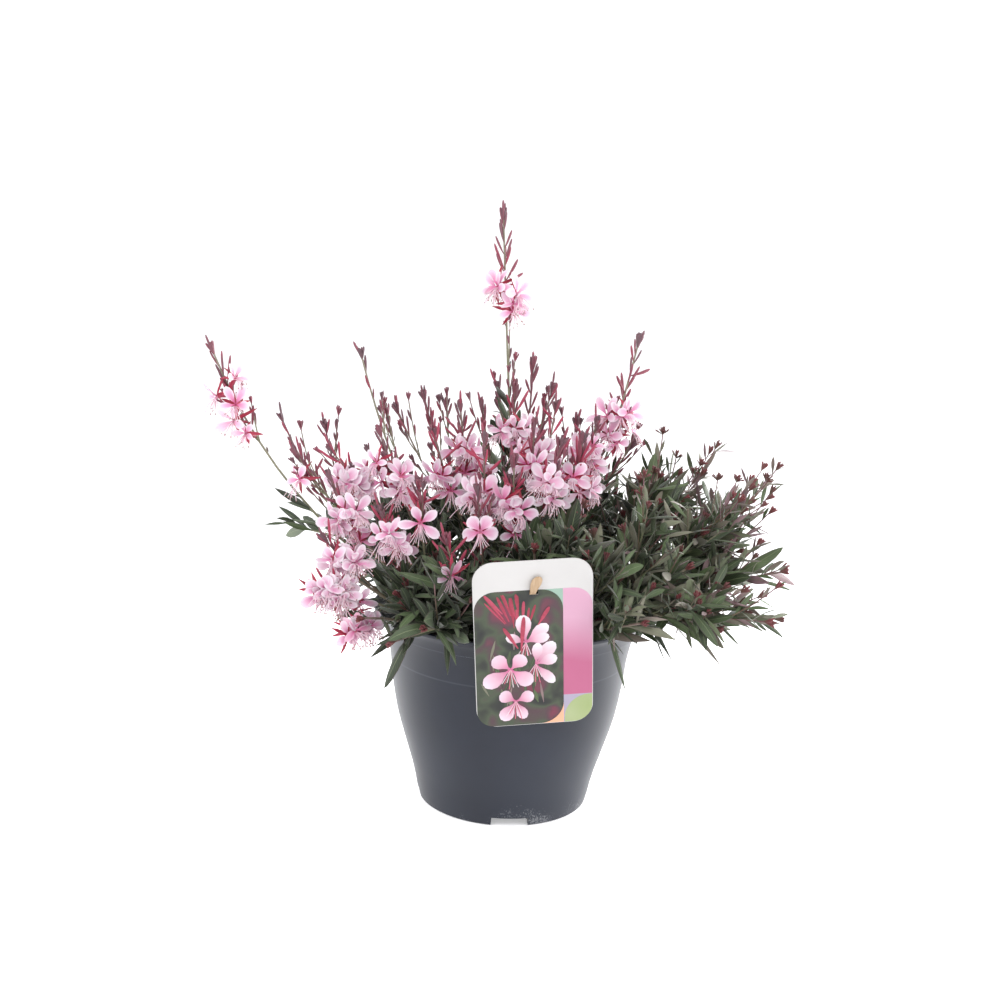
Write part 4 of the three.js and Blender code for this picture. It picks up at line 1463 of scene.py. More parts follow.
@dataclass
class Grower:
    """Grows leaves, buds, twigs and flowers into a piece.

    Args:
        growth: the piece.
        dice: the piece's own seeded draws.
    """

    growth: Growth
    dice: random.Random

    # Half widths of a broad and a narrow leaf by its length, and how much slimmer a leaf of the part is
    BROAD, NARROW = 0.118, 0.078
    SLIM = 0.84
    # Radius of a brush's bud by its length, and how far a bud's tip curves up
    BRUSH_BUD = 0.088
    BUD_LIFT = 0.18
    # Places across the mound from where it thins out to its right edge, and the share left out there
    THINS_OUT = ((115, 185), (0.0, 0.72))

    def leaf(self, leaf: Leaf, tint: float, broad: bool = False, checked: bool = False) -> bool:
        """Grows a leaf, unless there is no room for it.

        Args:
            leaf: the leaf.
            tint: from fresh green over dark to plum, which is paled as painted glare.
            broad: whether it takes the broad form.
            checked: whether the part has tested its place.

        Returns:
            True if it was grown.
        """
        shares = np.linspace(0.15, 1, 6)
        if not checked and not has_room(leaf.centre(shares)):
            return False
        form = BROAD_LEAF_FORM.template if broad else LEAF_FORM.template
        s = form.points[:, 1]
        twist = self.dice.uniform(-35, 35)
        half = leaf.half * (self.SLIM if checked else 1)
        self.growth.blade(form, leaf.centre(s), leaf.run(s), -leaf.side, half, Skin.LEAF, tint, twist)
        return True

    def bud(self, seat: np.ndarray, heading: np.ndarray, length: float, radius: float, tint: float) -> None:
        """Grows a slender bud that curves a little upwards."""
        tip = seat + heading * length + UP * length * self.BUD_LIFT
        centre = partial(curve, seat, seat + heading * (length / 2), tip)
        self.growth.rod(BUD_FORM.template, centre, radius, Skin.BUD, tint)

    def tuft(
        self,
        tip: np.ndarray,
        along: np.ndarray,
        count: int,
        size: float,
        tint: float,
        spread: float = 22.0,
        skin: Skin = Skin.BUD,
    ) -> None:
        """Grows the crown of small buds, or of young leaves, that ends a spike.

        Args:
            tip: the spike's tip.
            along: its direction.
            count: how many buds.
            size: the length of a bud.
            tint: from dark plum to red.
            spread: degrees by which the outermost bud leans.
            skin: its finish.
        """
        aside = unit(np.cross(along, np.array([0.3, 0.9, 0.2])))
        over = np.cross(along, aside)
        for i in range(count):
            turn = i * math.radians(GOLDEN_ANGLE) + self.dice.uniform(-0.3, 0.3)
            lean = self.dice.uniform(8, spread) if i else 2
            heading = tilt(along, aside * math.cos(turn) + over * math.sin(turn), lean)
            seat = tip - along * size * self.dice.uniform(0.28, 0.42)
            self.growth.rod(
                TUFT_BUD_FORM.template,
                straight(seat, heading * (size * self.dice.uniform(0.8, 1.05))),
                size * self.BRUSH_BUD * self.dice.uniform(0.85, 1.2),
                skin,
                tint + self.dice.uniform(-0.15, 0.15),
            )

    def stem(self, stem: Stem, depth: float, tint: float) -> None:
        """Grows a stem, run down into the soil by a depth."""
        form = STEM_FORM.template if stem.thick > 0.8 or depth else TWIG_FORM.template

        def centre(s: np.ndarray) -> np.ndarray:
            """Returns the stem's points, the lowest of them drawn down into the soil."""
            points = stem.at(s)
            points[:, 2] -= depth * np.clip(1 - s * 12, 0, 1)
            return points

        self.growth.rod(form, centre, stem.radius(form.points[:, 2]) * 0.9, Skin.STEM, tint)

    def sparse(self, place: np.ndarray) -> bool:
        """Draws whether growth is left out at a place: the mound thins out towards its right-hand side."""
        return self.dice.random() < float(np.interp(place[0], *self.THINS_OUT))

    def fill_shoots(self, stem: Stem, count: int, low: float, high: float, leaf: float, plum: float) -> None:
        """Adds short side shoots, each with its own leaves and mostly a tuft of young red leaves.

        Args:
            stem: the stem.
            count: how many.
            low: the first shoot's share of the stem.
            high: the last shoot's.
            leaf: length of a leaf at a shoot's foot.
            plum: how plum the leaves are at the tip, and so how pale with painted glare.
        """
        dice = self.dice
        for i in range(count):
            t = low + (high - low) * (i + dice.random()) / count
            length = dice.uniform(24, 48) * (1.2 - 0.6 * t)
            bearing = i * GOLDEN_ANGLE + dice.uniform(-40, 40)
            shoot = stem.branch(t, dice.uniform(24, 58), bearing, length, dice.uniform(0.2, 1.0))
            if has_room(shoot.at(np.linspace(0.2, 1.2, 6))) and not self.sparse(shoot.tip):
                self.stem(shoot, 0.0, dice.random())
                self.fill_leaves(shoot, 8, 0.12, 1.0, leaf, 0.3, plum)
                if dice.random() < 0.7:
                    size, tint = dice.uniform(5.5, 8), dice.random()
                    self.tuft(shoot.tip, shoot.along(1.0), 9, size, tint, 24, Skin.SHOOT)

    def fill_leaves(
        self, stem: Stem, count: int, low: float, high: float, length: float, broad: float, plum: float
    ) -> None:
        """Adds leaves between those of the part.

        Args:
            stem: the stem.
            count: how many.
            low: the first leaf's share of the stem.
            high: the last leaf's.
            length: of a leaf at the stem's foot.
            broad: share of broad leaves.
            plum: how plum the leaves are at the tip, and so how pale with painted glare.
        """
        dice = self.dice
        for i in range(count):
            t = low + (high - low) * (i + dice.random()) / count
            if self.sparse(stem.at(t)):
                continue
            for _ in range(4):
                lean = dice.uniform(22, 66)
                facing = stem.facing(t, i * GOLDEN_ANGLE + dice.uniform(-40, 40))
                along = stem.along(t)
                lift = dice.uniform(0.0, 0.75) * float(np.clip((stem.tip[2] - 150) / 50, 0, 1))
                heading = tilt(along, facing, lean, lift)
                size = length * (1.15 - 0.55 * t) * dice.uniform(0.7, 1.3)
                wide = dice.random() < broad
                half = size * (self.BROAD if wide else self.NARROW) * dice.uniform(0.85, 1.15)
                side = unit(np.cross(along, facing))
                leaf = Leaf(stem.at(t), heading, side, size, half, dice.uniform(0.0, 0.36))
                # Leaves high on a plum stem take the pale upper stops of the leaf ramp, which are painted
                # glare
                tint = dice.uniform(0.0, 0.5) + plum * (0.3 + 0.7 * t) * dice.uniform(0.3, 1.0)
                if self.leaf(leaf, tint, wide):
                    break


@dataclass(frozen=True)
class BudRow:
    """The buds below a spike's brush.

    Args:
        count: fewest and most buds.
        bare: bare stem below the tip.
        step: distance from one bud to the next.
        lean: degrees from the stem.
        splay: how much more the next one leans.
        length: of the first bud.
        swell: how much longer the next one is.
        blush: how much redder the next one is.
    """

    count: tuple[int, int]
    bare: float
    step: float
    lean: tuple[float, float]
    splay: float
    length: tuple[float, float]
    swell: float
    blush: float


class Crown(Enum):
    """The ways in which a flower wand ends."""

    BRUSH = BudRow((2, 3), 14.0, 8.0, (8, 20), 3.0, (6.5, 9.0), 0.6, 0.05)
    SHEAF = BudRow((5, 8), 4.0, 3.4, (5, 13), 0.8, (9.0, 13.0), 0.3, 0.05)
    LADDER = BudRow((9, 11), 5.0, 4.6, (8, 15), 2.6, (9.5, 12.0), 0.4, 0.03)


@dataclass
class FlowerWand:
    """A wiry stem with its forks, each ending in a spike of buds.

    Args:
        index: its number among the plants.
        plan: its plan in the part.
        crown: the way in which it ends, or None to draw one for each spike.
    """

    index: int
    plan: Plan
    crown: Crown | None = None
    thick: float = 1.25
    thin: float = 0.7

    SEED = 500
    # A stem longer than this is pale green at its foot, and no bud hangs below this share of a stem
    TALL = 190.0
    LOWEST_BUD = 0.25

    def build(self) -> None:
        """Grows the wand in place of its CAD node."""
        node = f"flower_wand_{self.index + 1:02d}"
        corners = solid_corners(node)
        grower = Grower(Growth(), random.Random(self.SEED + self.index))
        for s, stem in enumerate(self.plan.stems(self.thick, self.thin)):
            tall = np.linalg.norm(stem.tip - stem.start) > self.TALL
            grower.stem(stem, ROOT_DEPTH if s == 0 else 0.0, 0.0 if tall else grower.dice.random())
            self.grow_part_buds(grower, stem, stem_key(self.index, s), corners)
            crown = self.crown or grower.dice.choice(list(Crown))
            self.grow_spike(grower, stem, crown)
            self.grow_twigs(grower, stem)
            self.grow_leaves(grower, stem, s == 0)
        grower.growth.make(f"wand_{self.index + 1:02d}", "wand", [node])

    def grow_part_buds(self, grower: Grower, stem: Stem, key: int, corners: np.ndarray) -> None:
        """Grows the buds that the part has, where it has them."""
        for i in range(Bud.COUNT):
            t = 1 - Bud.STRETCH * (1 - (i + 0.9) / Bud.COUNT)
            tries = [Bud.of_part(stem, t, key + i, attempt) for attempt in range(Bud.TRIES)]
            bud = best_try([(one, one.corners()) for one in tries], corners, 2)
            if bud:
                radius = Bud.RADIUS * grower.dice.uniform(0.7, 0.9)
                grower.bud(bud.seat, bud.heading, bud.length, radius, grower.dice.uniform(0.0, 0.7))

    def grow_spike(self, grower: Grower, stem: Stem, crown: Crown) -> None:
        """Adds the brush of buds at the tip, the rows below it and the ripe buds over the flowers."""
        dice = grower.dice
        row = crown.value
        count, size, tint = dice.randint(7, 10), dice.uniform(8.5, 11), dice.uniform(0, 0.3)
        ladder = crown is Crown.LADDER
        grower.tuft(stem.tip, stem.along(1.0), count + (5 if ladder else 0), size, tint, 16 if ladder else 22)
        length = float(np.linalg.norm(stem.tip - stem.start))
        down = row.bare * dice.uniform(0.7, 1.3)
        for i in range(dice.randint(*row.count)):
            long = dice.uniform(*row.length) + row.swell * i
            self.hang_bud(
                grower,
                stem,
                1 - down / length,
                i,
                dice.uniform(*row.lean) + row.splay * i,
                long,
                long * dice.uniform(0.062, 0.08),
                dice.uniform(0.0, 0.35) + row.blush * i,
            )
            down += row.step * dice.uniform(0.6, 1.4)
        if stem.spike.flowers:
            for i in range(dice.randint(5, 7)):
                t = dice.uniform(stem.spike.flowers[0][0] - 0.06, 0.93)
                self.hang_bud(
                    grower,
                    stem,
                    t,
                    i,
                    dice.uniform(22, 78),
                    dice.uniform(12, 18),
                    dice.uniform(0.85, 1.15),
                    dice.uniform(0.35, 0.65) if ladder else dice.uniform(0.75, 1.0),
                )

    def hang_bud(
        self,
        grower: Grower,
        stem: Stem,
        t: float,
        turn: int,
        lean: float,
        length: float,
        radius: float,
        tint: float,
    ) -> None:
        """Adds one bud to a spike, unless the place is too far down.

        Args:
            grower: grows it.
            stem: the spike's stem.
            t: share of the stem's length.
            turn: its number in the spiral round the stem.
            lean: degrees from the stem.
            length: its length.
            radius: its radius.
            tint: from dark plum to crimson.
        """
        if t < self.LOWEST_BUD:
            return
        facing = stem.facing(t, turn * GOLDEN_ANGLE + grower.dice.uniform(-30, 30) + 60)
        grower.bud(stem.at(t), tilt(stem.along(t), facing, lean), length, radius, tint)

    def grow_twigs(self, grower: Grower, stem: Stem) -> None:
        """Adds short twigs beside the spike, each with its own brush of buds."""
        dice = grower.dice
        for i in range(dice.randint(2, 3)):
            t = dice.uniform(0.45, 0.78)
            twig = stem.branch(t, dice.uniform(8, 26), dice.uniform(0, 360), dice.uniform(20, 46))
            if has_room(twig.at(np.linspace(0.3, 1.1, 4))):
                grower.stem(twig, 0.0, dice.random())
                count, size, tint = dice.randint(6, 8), dice.uniform(5.5, 8), dice.uniform(0, 0.5)
                grower.tuft(twig.tip, twig.along(1.0), count, size, tint)
                for k in range(2):
                    size, tint = dice.uniform(6, 9), dice.uniform(0, 0.5)
                    self.hang_bud(grower, twig, 0.4 + 0.25 * k, k, 14, size, 0.9, tint)

    def grow_leaves(self, grower: Grower, stem: Stem, main: bool) -> None:
        """Adds narrow leaves low down and small bracts further up."""
        if main:
            grower.fill_leaves(stem, 16, 0.04, 0.55, 34, 0.1, 0.2)
            grower.fill_shoots(stem, 5, 0.06, 0.45, 28, 0.2)
        grower.fill_leaves(stem, 5, 0.35, 0.8, 12, 0.0, 0.9)


@dataclass
class LeafyPlant:
    """A plant of the leaf mound: forked stems with lanceolate leaves and short shoots between them.

    Args:
        index: its number among the leafy plants.
        plan: its plan in the part.
    """

    index: int
    plan: Plan
    thick: float = 1.5
    thin: float = 0.8
    # Leaves and shoots that a full main stem gets beside the part's leaves
    leaves: int = 26
    shoots: int = 13
    # Leaves of the part on a main stem and on a fork: count, first and last share of the stem
    part_leaves: tuple[tuple[int, float, float], ...] = ((7, 0.22, 1.0), (4, 0.2, 1.0))

    SEED = 900
    # How far a stem's leaf keys start after the stem's first key
    FIRST_LEAF = 50
    # How full a fork is beside a main stem, and a plant behind the hanging flowers beside the others
    FORK_SHARE = 0.65
    BEHIND_FLOWERS = 0.4
    # Height from which stalks stand out of the mound's top, and place from which sprigs leave its side
    STALKS_ABOVE = 200.0
    SPRIGS_BEYOND = 120.0

    @property
    def plum(self) -> float:
        """How plum its leaves are, and with that how pale as painted glare: both more so on the side of the
        mound that has had the sun.
        """
        return float(np.clip(0.15 + self.plan.spikes[0].tip[0] / 240, 0.0, 0.75))

    @property
    def leaf(self) -> float:
        """Length of a leaf low down: longest where the mound hangs over the lip on the left."""
        return float(np.interp(self.plan.spikes[0].tip[0], (-60, 20), (42, 37)))

    @property
    def fullness(self) -> float:
        """Share of the leaves that it has: few where the flowers hang in front of it."""
        x, y, _ = self.plan.spikes[0].tip
        return self.BEHIND_FLOWERS if x < -80 and y < 0 else 1.0

    def build(self) -> None:
        """Grows the plant in place of its CAD node."""
        node = f"leafy_stem_{self.index + 1:02d}"
        corners = solid_corners(node)
        grower = Grower(Growth(), random.Random(self.SEED + self.index))
        for s, stem in enumerate(self.plan.stems(self.thick, self.thin)):
            grower.stem(stem, ROOT_DEPTH if s == 0 else 0.0, grower.dice.uniform(0.0, 0.6))
            key = stem_key(len(WANDS) + self.index, s) + self.FIRST_LEAF
            self.grow_part_leaves(grower, stem, key, self.part_leaves[min(s, 1)], corners)
            share = self.fullness if s == 0 else self.fullness * self.FORK_SHARE
            grower.fill_leaves(stem, round(self.leaves * share), 0.06, 0.9, self.leaf, 0.22, self.plum)
            grower.fill_shoots(stem, round(self.shoots * share), 0.1, 0.82, self.leaf * 0.8, self.plum)
            grower.tuft(stem.tip, stem.along(1.0), 9, 7.5, 0.6, 24, Skin.SHOOT)
            if stem.tip[2] > self.STALKS_ABOVE:
                self.grow_stalks(grower, stem)
            if stem.tip[0] > self.SPRIGS_BEYOND:
                self.grow_sprigs(grower, stem)
        grower.growth.make(f"leafy_plant_{self.index + 1:02d}", "foliage", [node])

    def grow_stalks(self, grower: Grower, stem: Stem) -> None:
        """Adds bare stalks that stand out of the top of the mound, each with a round head of buds."""
        for i in range(2):
            turn, reach = grower.dice.uniform(0, 360), grower.dice.uniform(26, 42)
            stalk = stem.branch(0.7 + 0.2 * i, grower.dice.uniform(8, 26), turn, reach, 0.9)
            if has_room(stalk.at(np.linspace(0.2, 1.1, 5))):
                grower.stem(stalk, 0.0, 1.0)
                grower.tuft(stalk.tip, stalk.along(1.0), 16, 6.0, grower.dice.random(), 66, Skin.SHOOT)
                grower.fill_leaves(stalk, 3, 0.3, 0.8, 12, 0.0, 0.9)

    def grow_sprigs(self, grower: Grower, stem: Stem) -> None:
        """Adds thin sprigs that stand out of the mound's side, each with narrow leaves and red buds."""
        dice = grower.dice
        for i in range(4):
            turn, reach = dice.uniform(-50, 50), dice.uniform(32, 58)
            sprig = stem.branch(0.55 + 0.12 * i, dice.uniform(4, 30), turn, reach, dice.uniform(0.1, 0.8))
            if has_room(sprig.at(np.linspace(0.2, 1.05, 6))):
                grower.stem(sprig, 0.0, 1.0)
                grower.tuft(sprig.tip, sprig.along(1.0), 8, 7.5, dice.random(), 28, Skin.SHOOT)
                grower.fill_leaves(sprig, 9, 0.25, 0.95, 24, 0.0, 1.0)

    def grow_part_leaves(
        self, grower: Grower, stem: Stem, key: int, row: tuple[int, float, float], corners: np.ndarray
    ) -> None:
        """Grows the leaves that the part has, where it has them."""
        count, low, high = row
        for i in range(count):
            t = low + (high - low) * ((i + 0.5) / count)
            scale = 1.15 - 0.45 * t
            small = scale <= Leaf.SMALL
            tries = [Leaf.of_part(stem, t, key + i, attempt, scale) for attempt in range(Leaf.TRIES)]
            leaf = best_try([(one, one.corners(small)) for one in tries], corners, 2)
            if leaf:
                # The plum share also pales the leaf towards grey, as painted glare
                tint = grower.dice.uniform(0.05, 0.5) + self.plum * (0.3 + 0.7 * t)
                grower.leaf(leaf, tint, checked=True)


@dataclass(frozen=True)
class Habit:
    """How a flower holds its petals.

    Args:
        length: of a petal, as a share of the part's.
        half: a petal's half width.
        cup: how far the petals start out forwards.
        curl: how far they bend back again.
        twist: degrees by which a petal may turn about its length.
        tint: from faded over fresh pink to deep pink.
    """

    length: tuple[float, float]
    half: tuple[float, float]
    cup: tuple[float, float]
    curl: tuple[float, float]
    twist: float
    tint: tuple[float, float]


class Age(Enum):
    """How far a flower is in the one or two days that it stays open."""

    OPENING = Habit((0.85, 1.0), (2.7, 3.5), (0.45, 0.95), (0.1, 0.4), 30, (0.0, 0.45))
    FRESH = Habit((0.84, 1.0), (3.2, 4.3), (0.1, 0.42), (0.0, 0.3), 24, (0.0, 0.5))
    FLAT = Habit((0.8, 0.84), (4.3, 4.5), (0.08, 0.14), (0.04, 0.1), 6, (0.2, 0.3))
    SPENT = Habit((0.66, 0.86), (2.2, 3.2), (0.2, 0.9), (0.3, 0.8), 50, (0.6, 0.95))


@dataclass
class FlowerCluster:
    """The open flowers of one spike.

    Args:
        number: its number among the clusters.
        plant: its plant's number.
        spike: the spike's number on that plant.
        stem: the spike's stem.
        age: the flowers' age, or None to draw one for each.
        extra: how many flowers are added to those of the part.
        spray: where a side spray in flower ends, if there is one.
        filaments: how many stamens a flower has.
    """

    number: int
    plant: int
    spike: int
    stem: Stem
    age: Age | None = None
    extra: int = 2
    spray: tuple[float, float, float] | None = None
    filaments: int = 8

    SEED = 1300
    # First key of the added flowers, and the keys of a cluster
    ADDED_KEY = 9000
    CLUSTER_KEYS = 20
    # Two draws in five are half open, and one is spent
    MIX = (Age.OPENING, Age.OPENING, Age.FRESH, Age.FRESH, Age.SPENT)
    # Where a side spray leaves the stem, and how many flowers it has
    SPRAY_START = 0.55
    SPRAY_FLOWERS = 8

    def build(self) -> None:
        """Grows the cluster in place of its CAD node."""
        node = f"flowers_{self.number:02d}"
        corners = solid_corners(node)
        grower = Grower(Growth(), random.Random(self.SEED + self.number))
        for i, (t, bearing) in enumerate(self.stem.spike.flowers):
            key = self.plant * 100 + self.spike * 10 + i
            tries = [Flower.of_part(self.stem, t, bearing, key, attempt) for attempt in range(Flower.TRIES)]
            flower = best_try([(one, one.corners()) for one in tries], corners, 5)
            if flower is None:
                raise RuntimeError(f"{node} has no flower {i}: its plan differs from the part's")
            self.grow_flower(grower, flower, self.age or grower.dice.choice(self.MIX))
        for i in range(self.extra):
            t, bearing = grower.dice.choice(self.stem.spike.flowers)
            self.add_flower(grower, self.stem, t + grower.dice.uniform(-0.08, 0.08), bearing, i)
        if self.spray:
            spray = Stem(self.stem.at(self.SPRAY_START), Spike(self.spray, bow=-0.1), 0.9, 0.5)
            grower.stem(spray, 0.0, 0.5)
            for i, share in enumerate(np.linspace(0.4, 1.0, self.SPRAY_FLOWERS)):
                self.add_flower(grower, spray, float(share), 200 + 137 * i % 140, 10 + i)
        grower.growth.make(f"bloom_{self.number:02d}", "petals", [node])

    def add_flower(self, grower: Grower, stem: Stem, t: float, bearing: float, key: int) -> None:
        """Adds a smaller flower between those of the part.

        Args:
            grower: grows it.
            stem: the stem that it is on.
            t: share of the stem's length.
            bearing: about the way that it faces.
            key: its number among the added ones.
        """
        bearing += grower.dice.uniform(-60, 60)
        key += self.ADDED_KEY + self.number * self.CLUSTER_KEYS
        flower = Flower.of_part(stem, t, bearing, key, 0)
        flower = replace(flower, size=flower.size * grower.dice.uniform(0.75, 0.95))
        self.grow_flower(grower, flower, grower.dice.choice((Age.OPENING, Age.FRESH, Age.SPENT)))

    def grow_flower(self, grower: Grower, flower: Flower, age: Age) -> None:
        """Grows one flower with all its parts."""
        self.grow_tube(grower, flower)
        self.grow_sepals(grower, flower)
        self.grow_petals(grower, flower, age.value)
        self.grow_stamens(grower, flower)

    def grow_tube(self, grower: Grower, flower: Flower) -> None:
        """Grows the ovary and the red tube from the stem to the throat."""
        start = flower.base - unit(flower.heart - flower.base) * 1.5
        centre = straight(start, flower.mouth - start)
        grower.growth.rod(TUBE_FORM.template, centre, 1.15, Skin.TUBE, grower.dice.random())

    def grow_sepals(self, grower: Grower, flower: Flower) -> None:
        """Grows the four red sepals that are folded back behind the petals."""
        dice = grower.dice
        form = SEPAL_FORM.template
        s = form.points[:, 1:2]
        for angle in (8, 62, -68, 172):
            out = flower.radial(angle + dice.uniform(-20, 20))
            way = tilt(out, -flower.face, dice.uniform(8, 48))
            length = dice.uniform(11, 15) * flower.size
            bend = dice.uniform(0.05, 0.25)
            back_off = flower.face * (0.8 + length * bend * s**2)
            centre = flower.heart + way * (length * s) - back_off
            run = unit(way - flower.face * (2 * bend * s))
            side = np.cross(flower.face, out)
            tint, twist = dice.random(), dice.uniform(-30, 30)
            grower.growth.blade(form, centre, run, side, 1.15, Skin.SEPAL, tint, twist)

    def grow_petals(self, grower: Grower, flower: Flower, habit: Habit) -> None:
        """Grows the four petals: two stand up and two spread to the sides and down."""
        dice = grower.dice
        shade = dice.uniform(*habit.tint)
        cups = dice.uniform(*habit.cup)
        form = PETAL_FORM.template
        s = form.points[:, 1:2]
        for angle in flower.BEARINGS:
            spread = dice.uniform(6, 22) if abs(angle) == 90 else dice.uniform(-4, 6)
            out = flower.radial(angle + math.copysign(spread, angle))
            length = flower.PETAL_LENGTH * flower.size * dice.uniform(*habit.length)
            cup, curl = cups * dice.uniform(0.8, 1.2), dice.uniform(*habit.curl)
            way = unit(out + flower.face * cup)
            back = unit(out * cup - flower.face)
            centre = flower.heart + way * (length * s) + back * (length * curl * s**2)
            run = unit(way + back * (2 * curl * s))
            side = np.cross(flower.face, out)
            half = dice.uniform(*habit.half) * flower.size
            twist = dice.uniform(-habit.twist, habit.twist)
            tint = shade + dice.uniform(-0.1, 0.1)
            grower.growth.blade(form, centre, run, side, half, Skin.PETAL, tint, twist)

    def grow_stamens(self, grower: Grower, flower: Flower) -> None:
        """Grows the hanging stamens with their anthers, and the longer style."""
        dice = grower.dice
        for i in range(self.filaments + 1):
            style = i == self.filaments
            fan = (i - (self.filaments - 1) / 2) / self.filaments
            start = flower.mouth + flower.right * (fan * 2.2)
            ahead = dice.uniform(3.5, 8.5) + (2 if style else 0)
            down = dice.uniform(6, 12.5) + (2 if style else 0)
            tip = start + (flower.face * ahead - flower.top * down + flower.right * (fan * 11)) * flower.size
            bend = start + flower.face * (ahead * 0.9) - flower.top * (down * 0.25)
            centre = partial(curve, start, bend, tip)
            grower.growth.rod(FILAMENT_FORM.template, centre, 0.23, Skin.FILAMENT, dice.random())
            way = unit(flower.right * dice.uniform(-1, 1) + flower.face * dice.uniform(-1, 1) - UP * 0.4)
            long = 1.2 if style else dice.uniform(1.2, 1.9)
            middle = straight(tip - way * (long / 2), way * long)
            skin = Skin.FILAMENT if style else Skin.ANTHER
            grower.growth.rod(ANTHER_FORM.template, middle, 0.29, skin, dice.random())


# Pot, soil and label


@dataclass
class NurseryPot:
    """The injection-moulded pot: a swelling wall, a flared lip, a notched foot and drain holes."""

    sides: int = 144
    wall: float = 2.0
    middle_r: float = 28.0
    channel: float = 5.0
    floor: float = 2.4
    notch: tuple[float, float, float] = (14.0, 25.0, 6.0)
    notch_bearing: float = 276.0
    drain_r: float = 5.0
    drain_at: float = 44.0
    # Radius and height of the outer wall, from the foot to the shoulder
    outline: tuple[tuple[float, float], ...] = (
        (58.5, 0.0),
        (59.4, 0.5),
        (61.2, 8.0),
        (62.6, 15.0),
        (65.2, 25.0),
        (68.3, 35.0),
        (71.4, 45.0),
        (74.4, 55.0),
        (77.0, 65.0),
        (78.9, 75.0),
        (80.4, 85.0),
        (81.6, 95.0),
        (82.7, 105.0),
        (84.6, 115.0),
        (86.9, 124.2),
    )

    HEIGHT = 138.0
    LIP_R = 95.0

    def build(self) -> None:
        """Turns the pot, cuts its notches and drains, and rounds its edges."""
        outer = [*self.outline, (87.3, 125.0), (88.4, 125.4), (90.4, 131.0), (93.4, 134.8)]
        lip = [(94.6, 135.5), (95.0, 136.2), (95.0, 137.5), (94.5, 138.0), (93.1, 138.0), (92.6, 137.4)]
        inner = [(r - self.wall, z + 0.4) for r, z in reversed(outer) if z > self.channel + self.floor + 1]
        base = [
            (self.middle_r, 0.0),
            (self.middle_r + 2, self.channel),
            (self.outline[0][0] - 5, self.channel),
            (self.outline[0][0] - 4, 0.0),
        ]
        floor = self.channel + self.floor
        inside = [(self.outline[0][0], floor), (self.middle_r + 1, floor), (self.middle_r - 1, self.floor)]
        pot = turn_profile([*base, *outer, *lip, *inner, *inside], self.sides)
        for i in range(4):
            bearing = self.notch_bearing + 90 * i
            self.cut_notch(pot, bearing)
            self.cut_drain(pot, bearing)
        hand_over(pot, "nursery_pot", POT_PLASTIC, ["pot"], smooth=32)

    def cut_notch(self, pot: bpy.types.Object, bearing: float) -> None:
        """Cuts one round-shouldered notch into the foot."""
        deep, wide, high = self.notch
        place = compass(bearing) * self.outline[0][0] * MM
        lay_down()
        bpy.ops.mesh.primitive_cube_add(size=1, location=place, rotation=(0, 0, math.radians(bearing)))
        cutter = bpy.context.object
        cutter.scale = (deep * MM, wide * MM, 2 * high * MM)
        bpy.ops.object.transform_apply(location=False, rotation=False, scale=True)
        bpy.ops.object.mode_set(mode="EDIT")
        choose(cutter, lambda co: co.z > 0)
        bpy.ops.transform.resize(value=(1, 0.8, 1), center_override=tuple(place))
        choose(cutter, lambda co: co.z > 0 and abs(co.y) > 0.3 * wide * MM and abs(co.x) < 1e-5, "EDGE")
        bpy.ops.mesh.bevel(offset=2.4 * MM, segments=4)
        bpy.ops.object.mode_set(mode="OBJECT")
        cut_away(pot, cutter)

    def cut_drain(self, pot: bpy.types.Object, bearing: float) -> None:
        """Cuts one drain hole through the floor's channel."""
        place = compass(bearing) * self.drain_at * MM + UP * (self.channel + 1) * MM
        lay_down()
        bpy.ops.mesh.primitive_cylinder_add(
            vertices=24, radius=self.drain_r * MM, depth=8 * MM, location=place
        )
        cut_away(pot, bpy.context.object)


@dataclass
class PottingSoil:
    """The peat in the pot, with a crumbly top and loose crumbs on it."""

    gap: float = 1.3
    crumbs: int = 420
    # Radius of the circle over which the crumbs lie, and how deep they sink in
    spread: float = 81.0
    sunk: float = 0.6
    sides: int = 120

    SEED = 77

    def build(self) -> None:
        """Turns the filling, roughens its top and scatters the crumbs."""
        wall = [(r - NurseryPot.wall - self.gap, z) for r, z in NurseryPot.outline if 10 < z < 120]
        top = [(r, float(Plan.soil_height(r))) for r in np.linspace(82.5, 2.0, 42)]
        filling = turn_profile([(57.5, 8.2), *wall, (83.2, 119.5), *top], self.sides)
        for vert in filling.data.vertices:
            co = vert.co / MM
            if co.z > 120:
                lumps = noise.fractal(co * 0.09, 1.0, 2.0, 4) * 1.7 + noise.noise(co * 0.45) * 0.7
                vert.co.z += lumps * MM
        hand_over(filling, "potting_soil", PEAT_FILL, ["soil"], smooth=60)
        self.scatter()

    def scatter(self) -> None:
        """Scatters crumbs of peat, sunk a little into the top."""
        growth, dice = Growth(), random.Random(self.SEED)
        for _ in range(self.crumbs):
            r = self.spread * math.sqrt(dice.random())
            place = compass(dice.uniform(0, 360)) * r + UP * (Plan.soil_height(r) - self.sunk)
            size = dice.uniform(1.0, 3.4)
            way = unit(np.array([dice.uniform(-1, 1), dice.uniform(-1, 1), dice.uniform(-0.3, 0.6)]))
            centre = straight(place - way * size / 2, way * size)
            growth.rod(CRUMB_FORM.template, centre, size * dice.uniform(0.3, 0.55), Skin.PEAT, 0.0)
        growth.make("soil_crumbs", "soil")


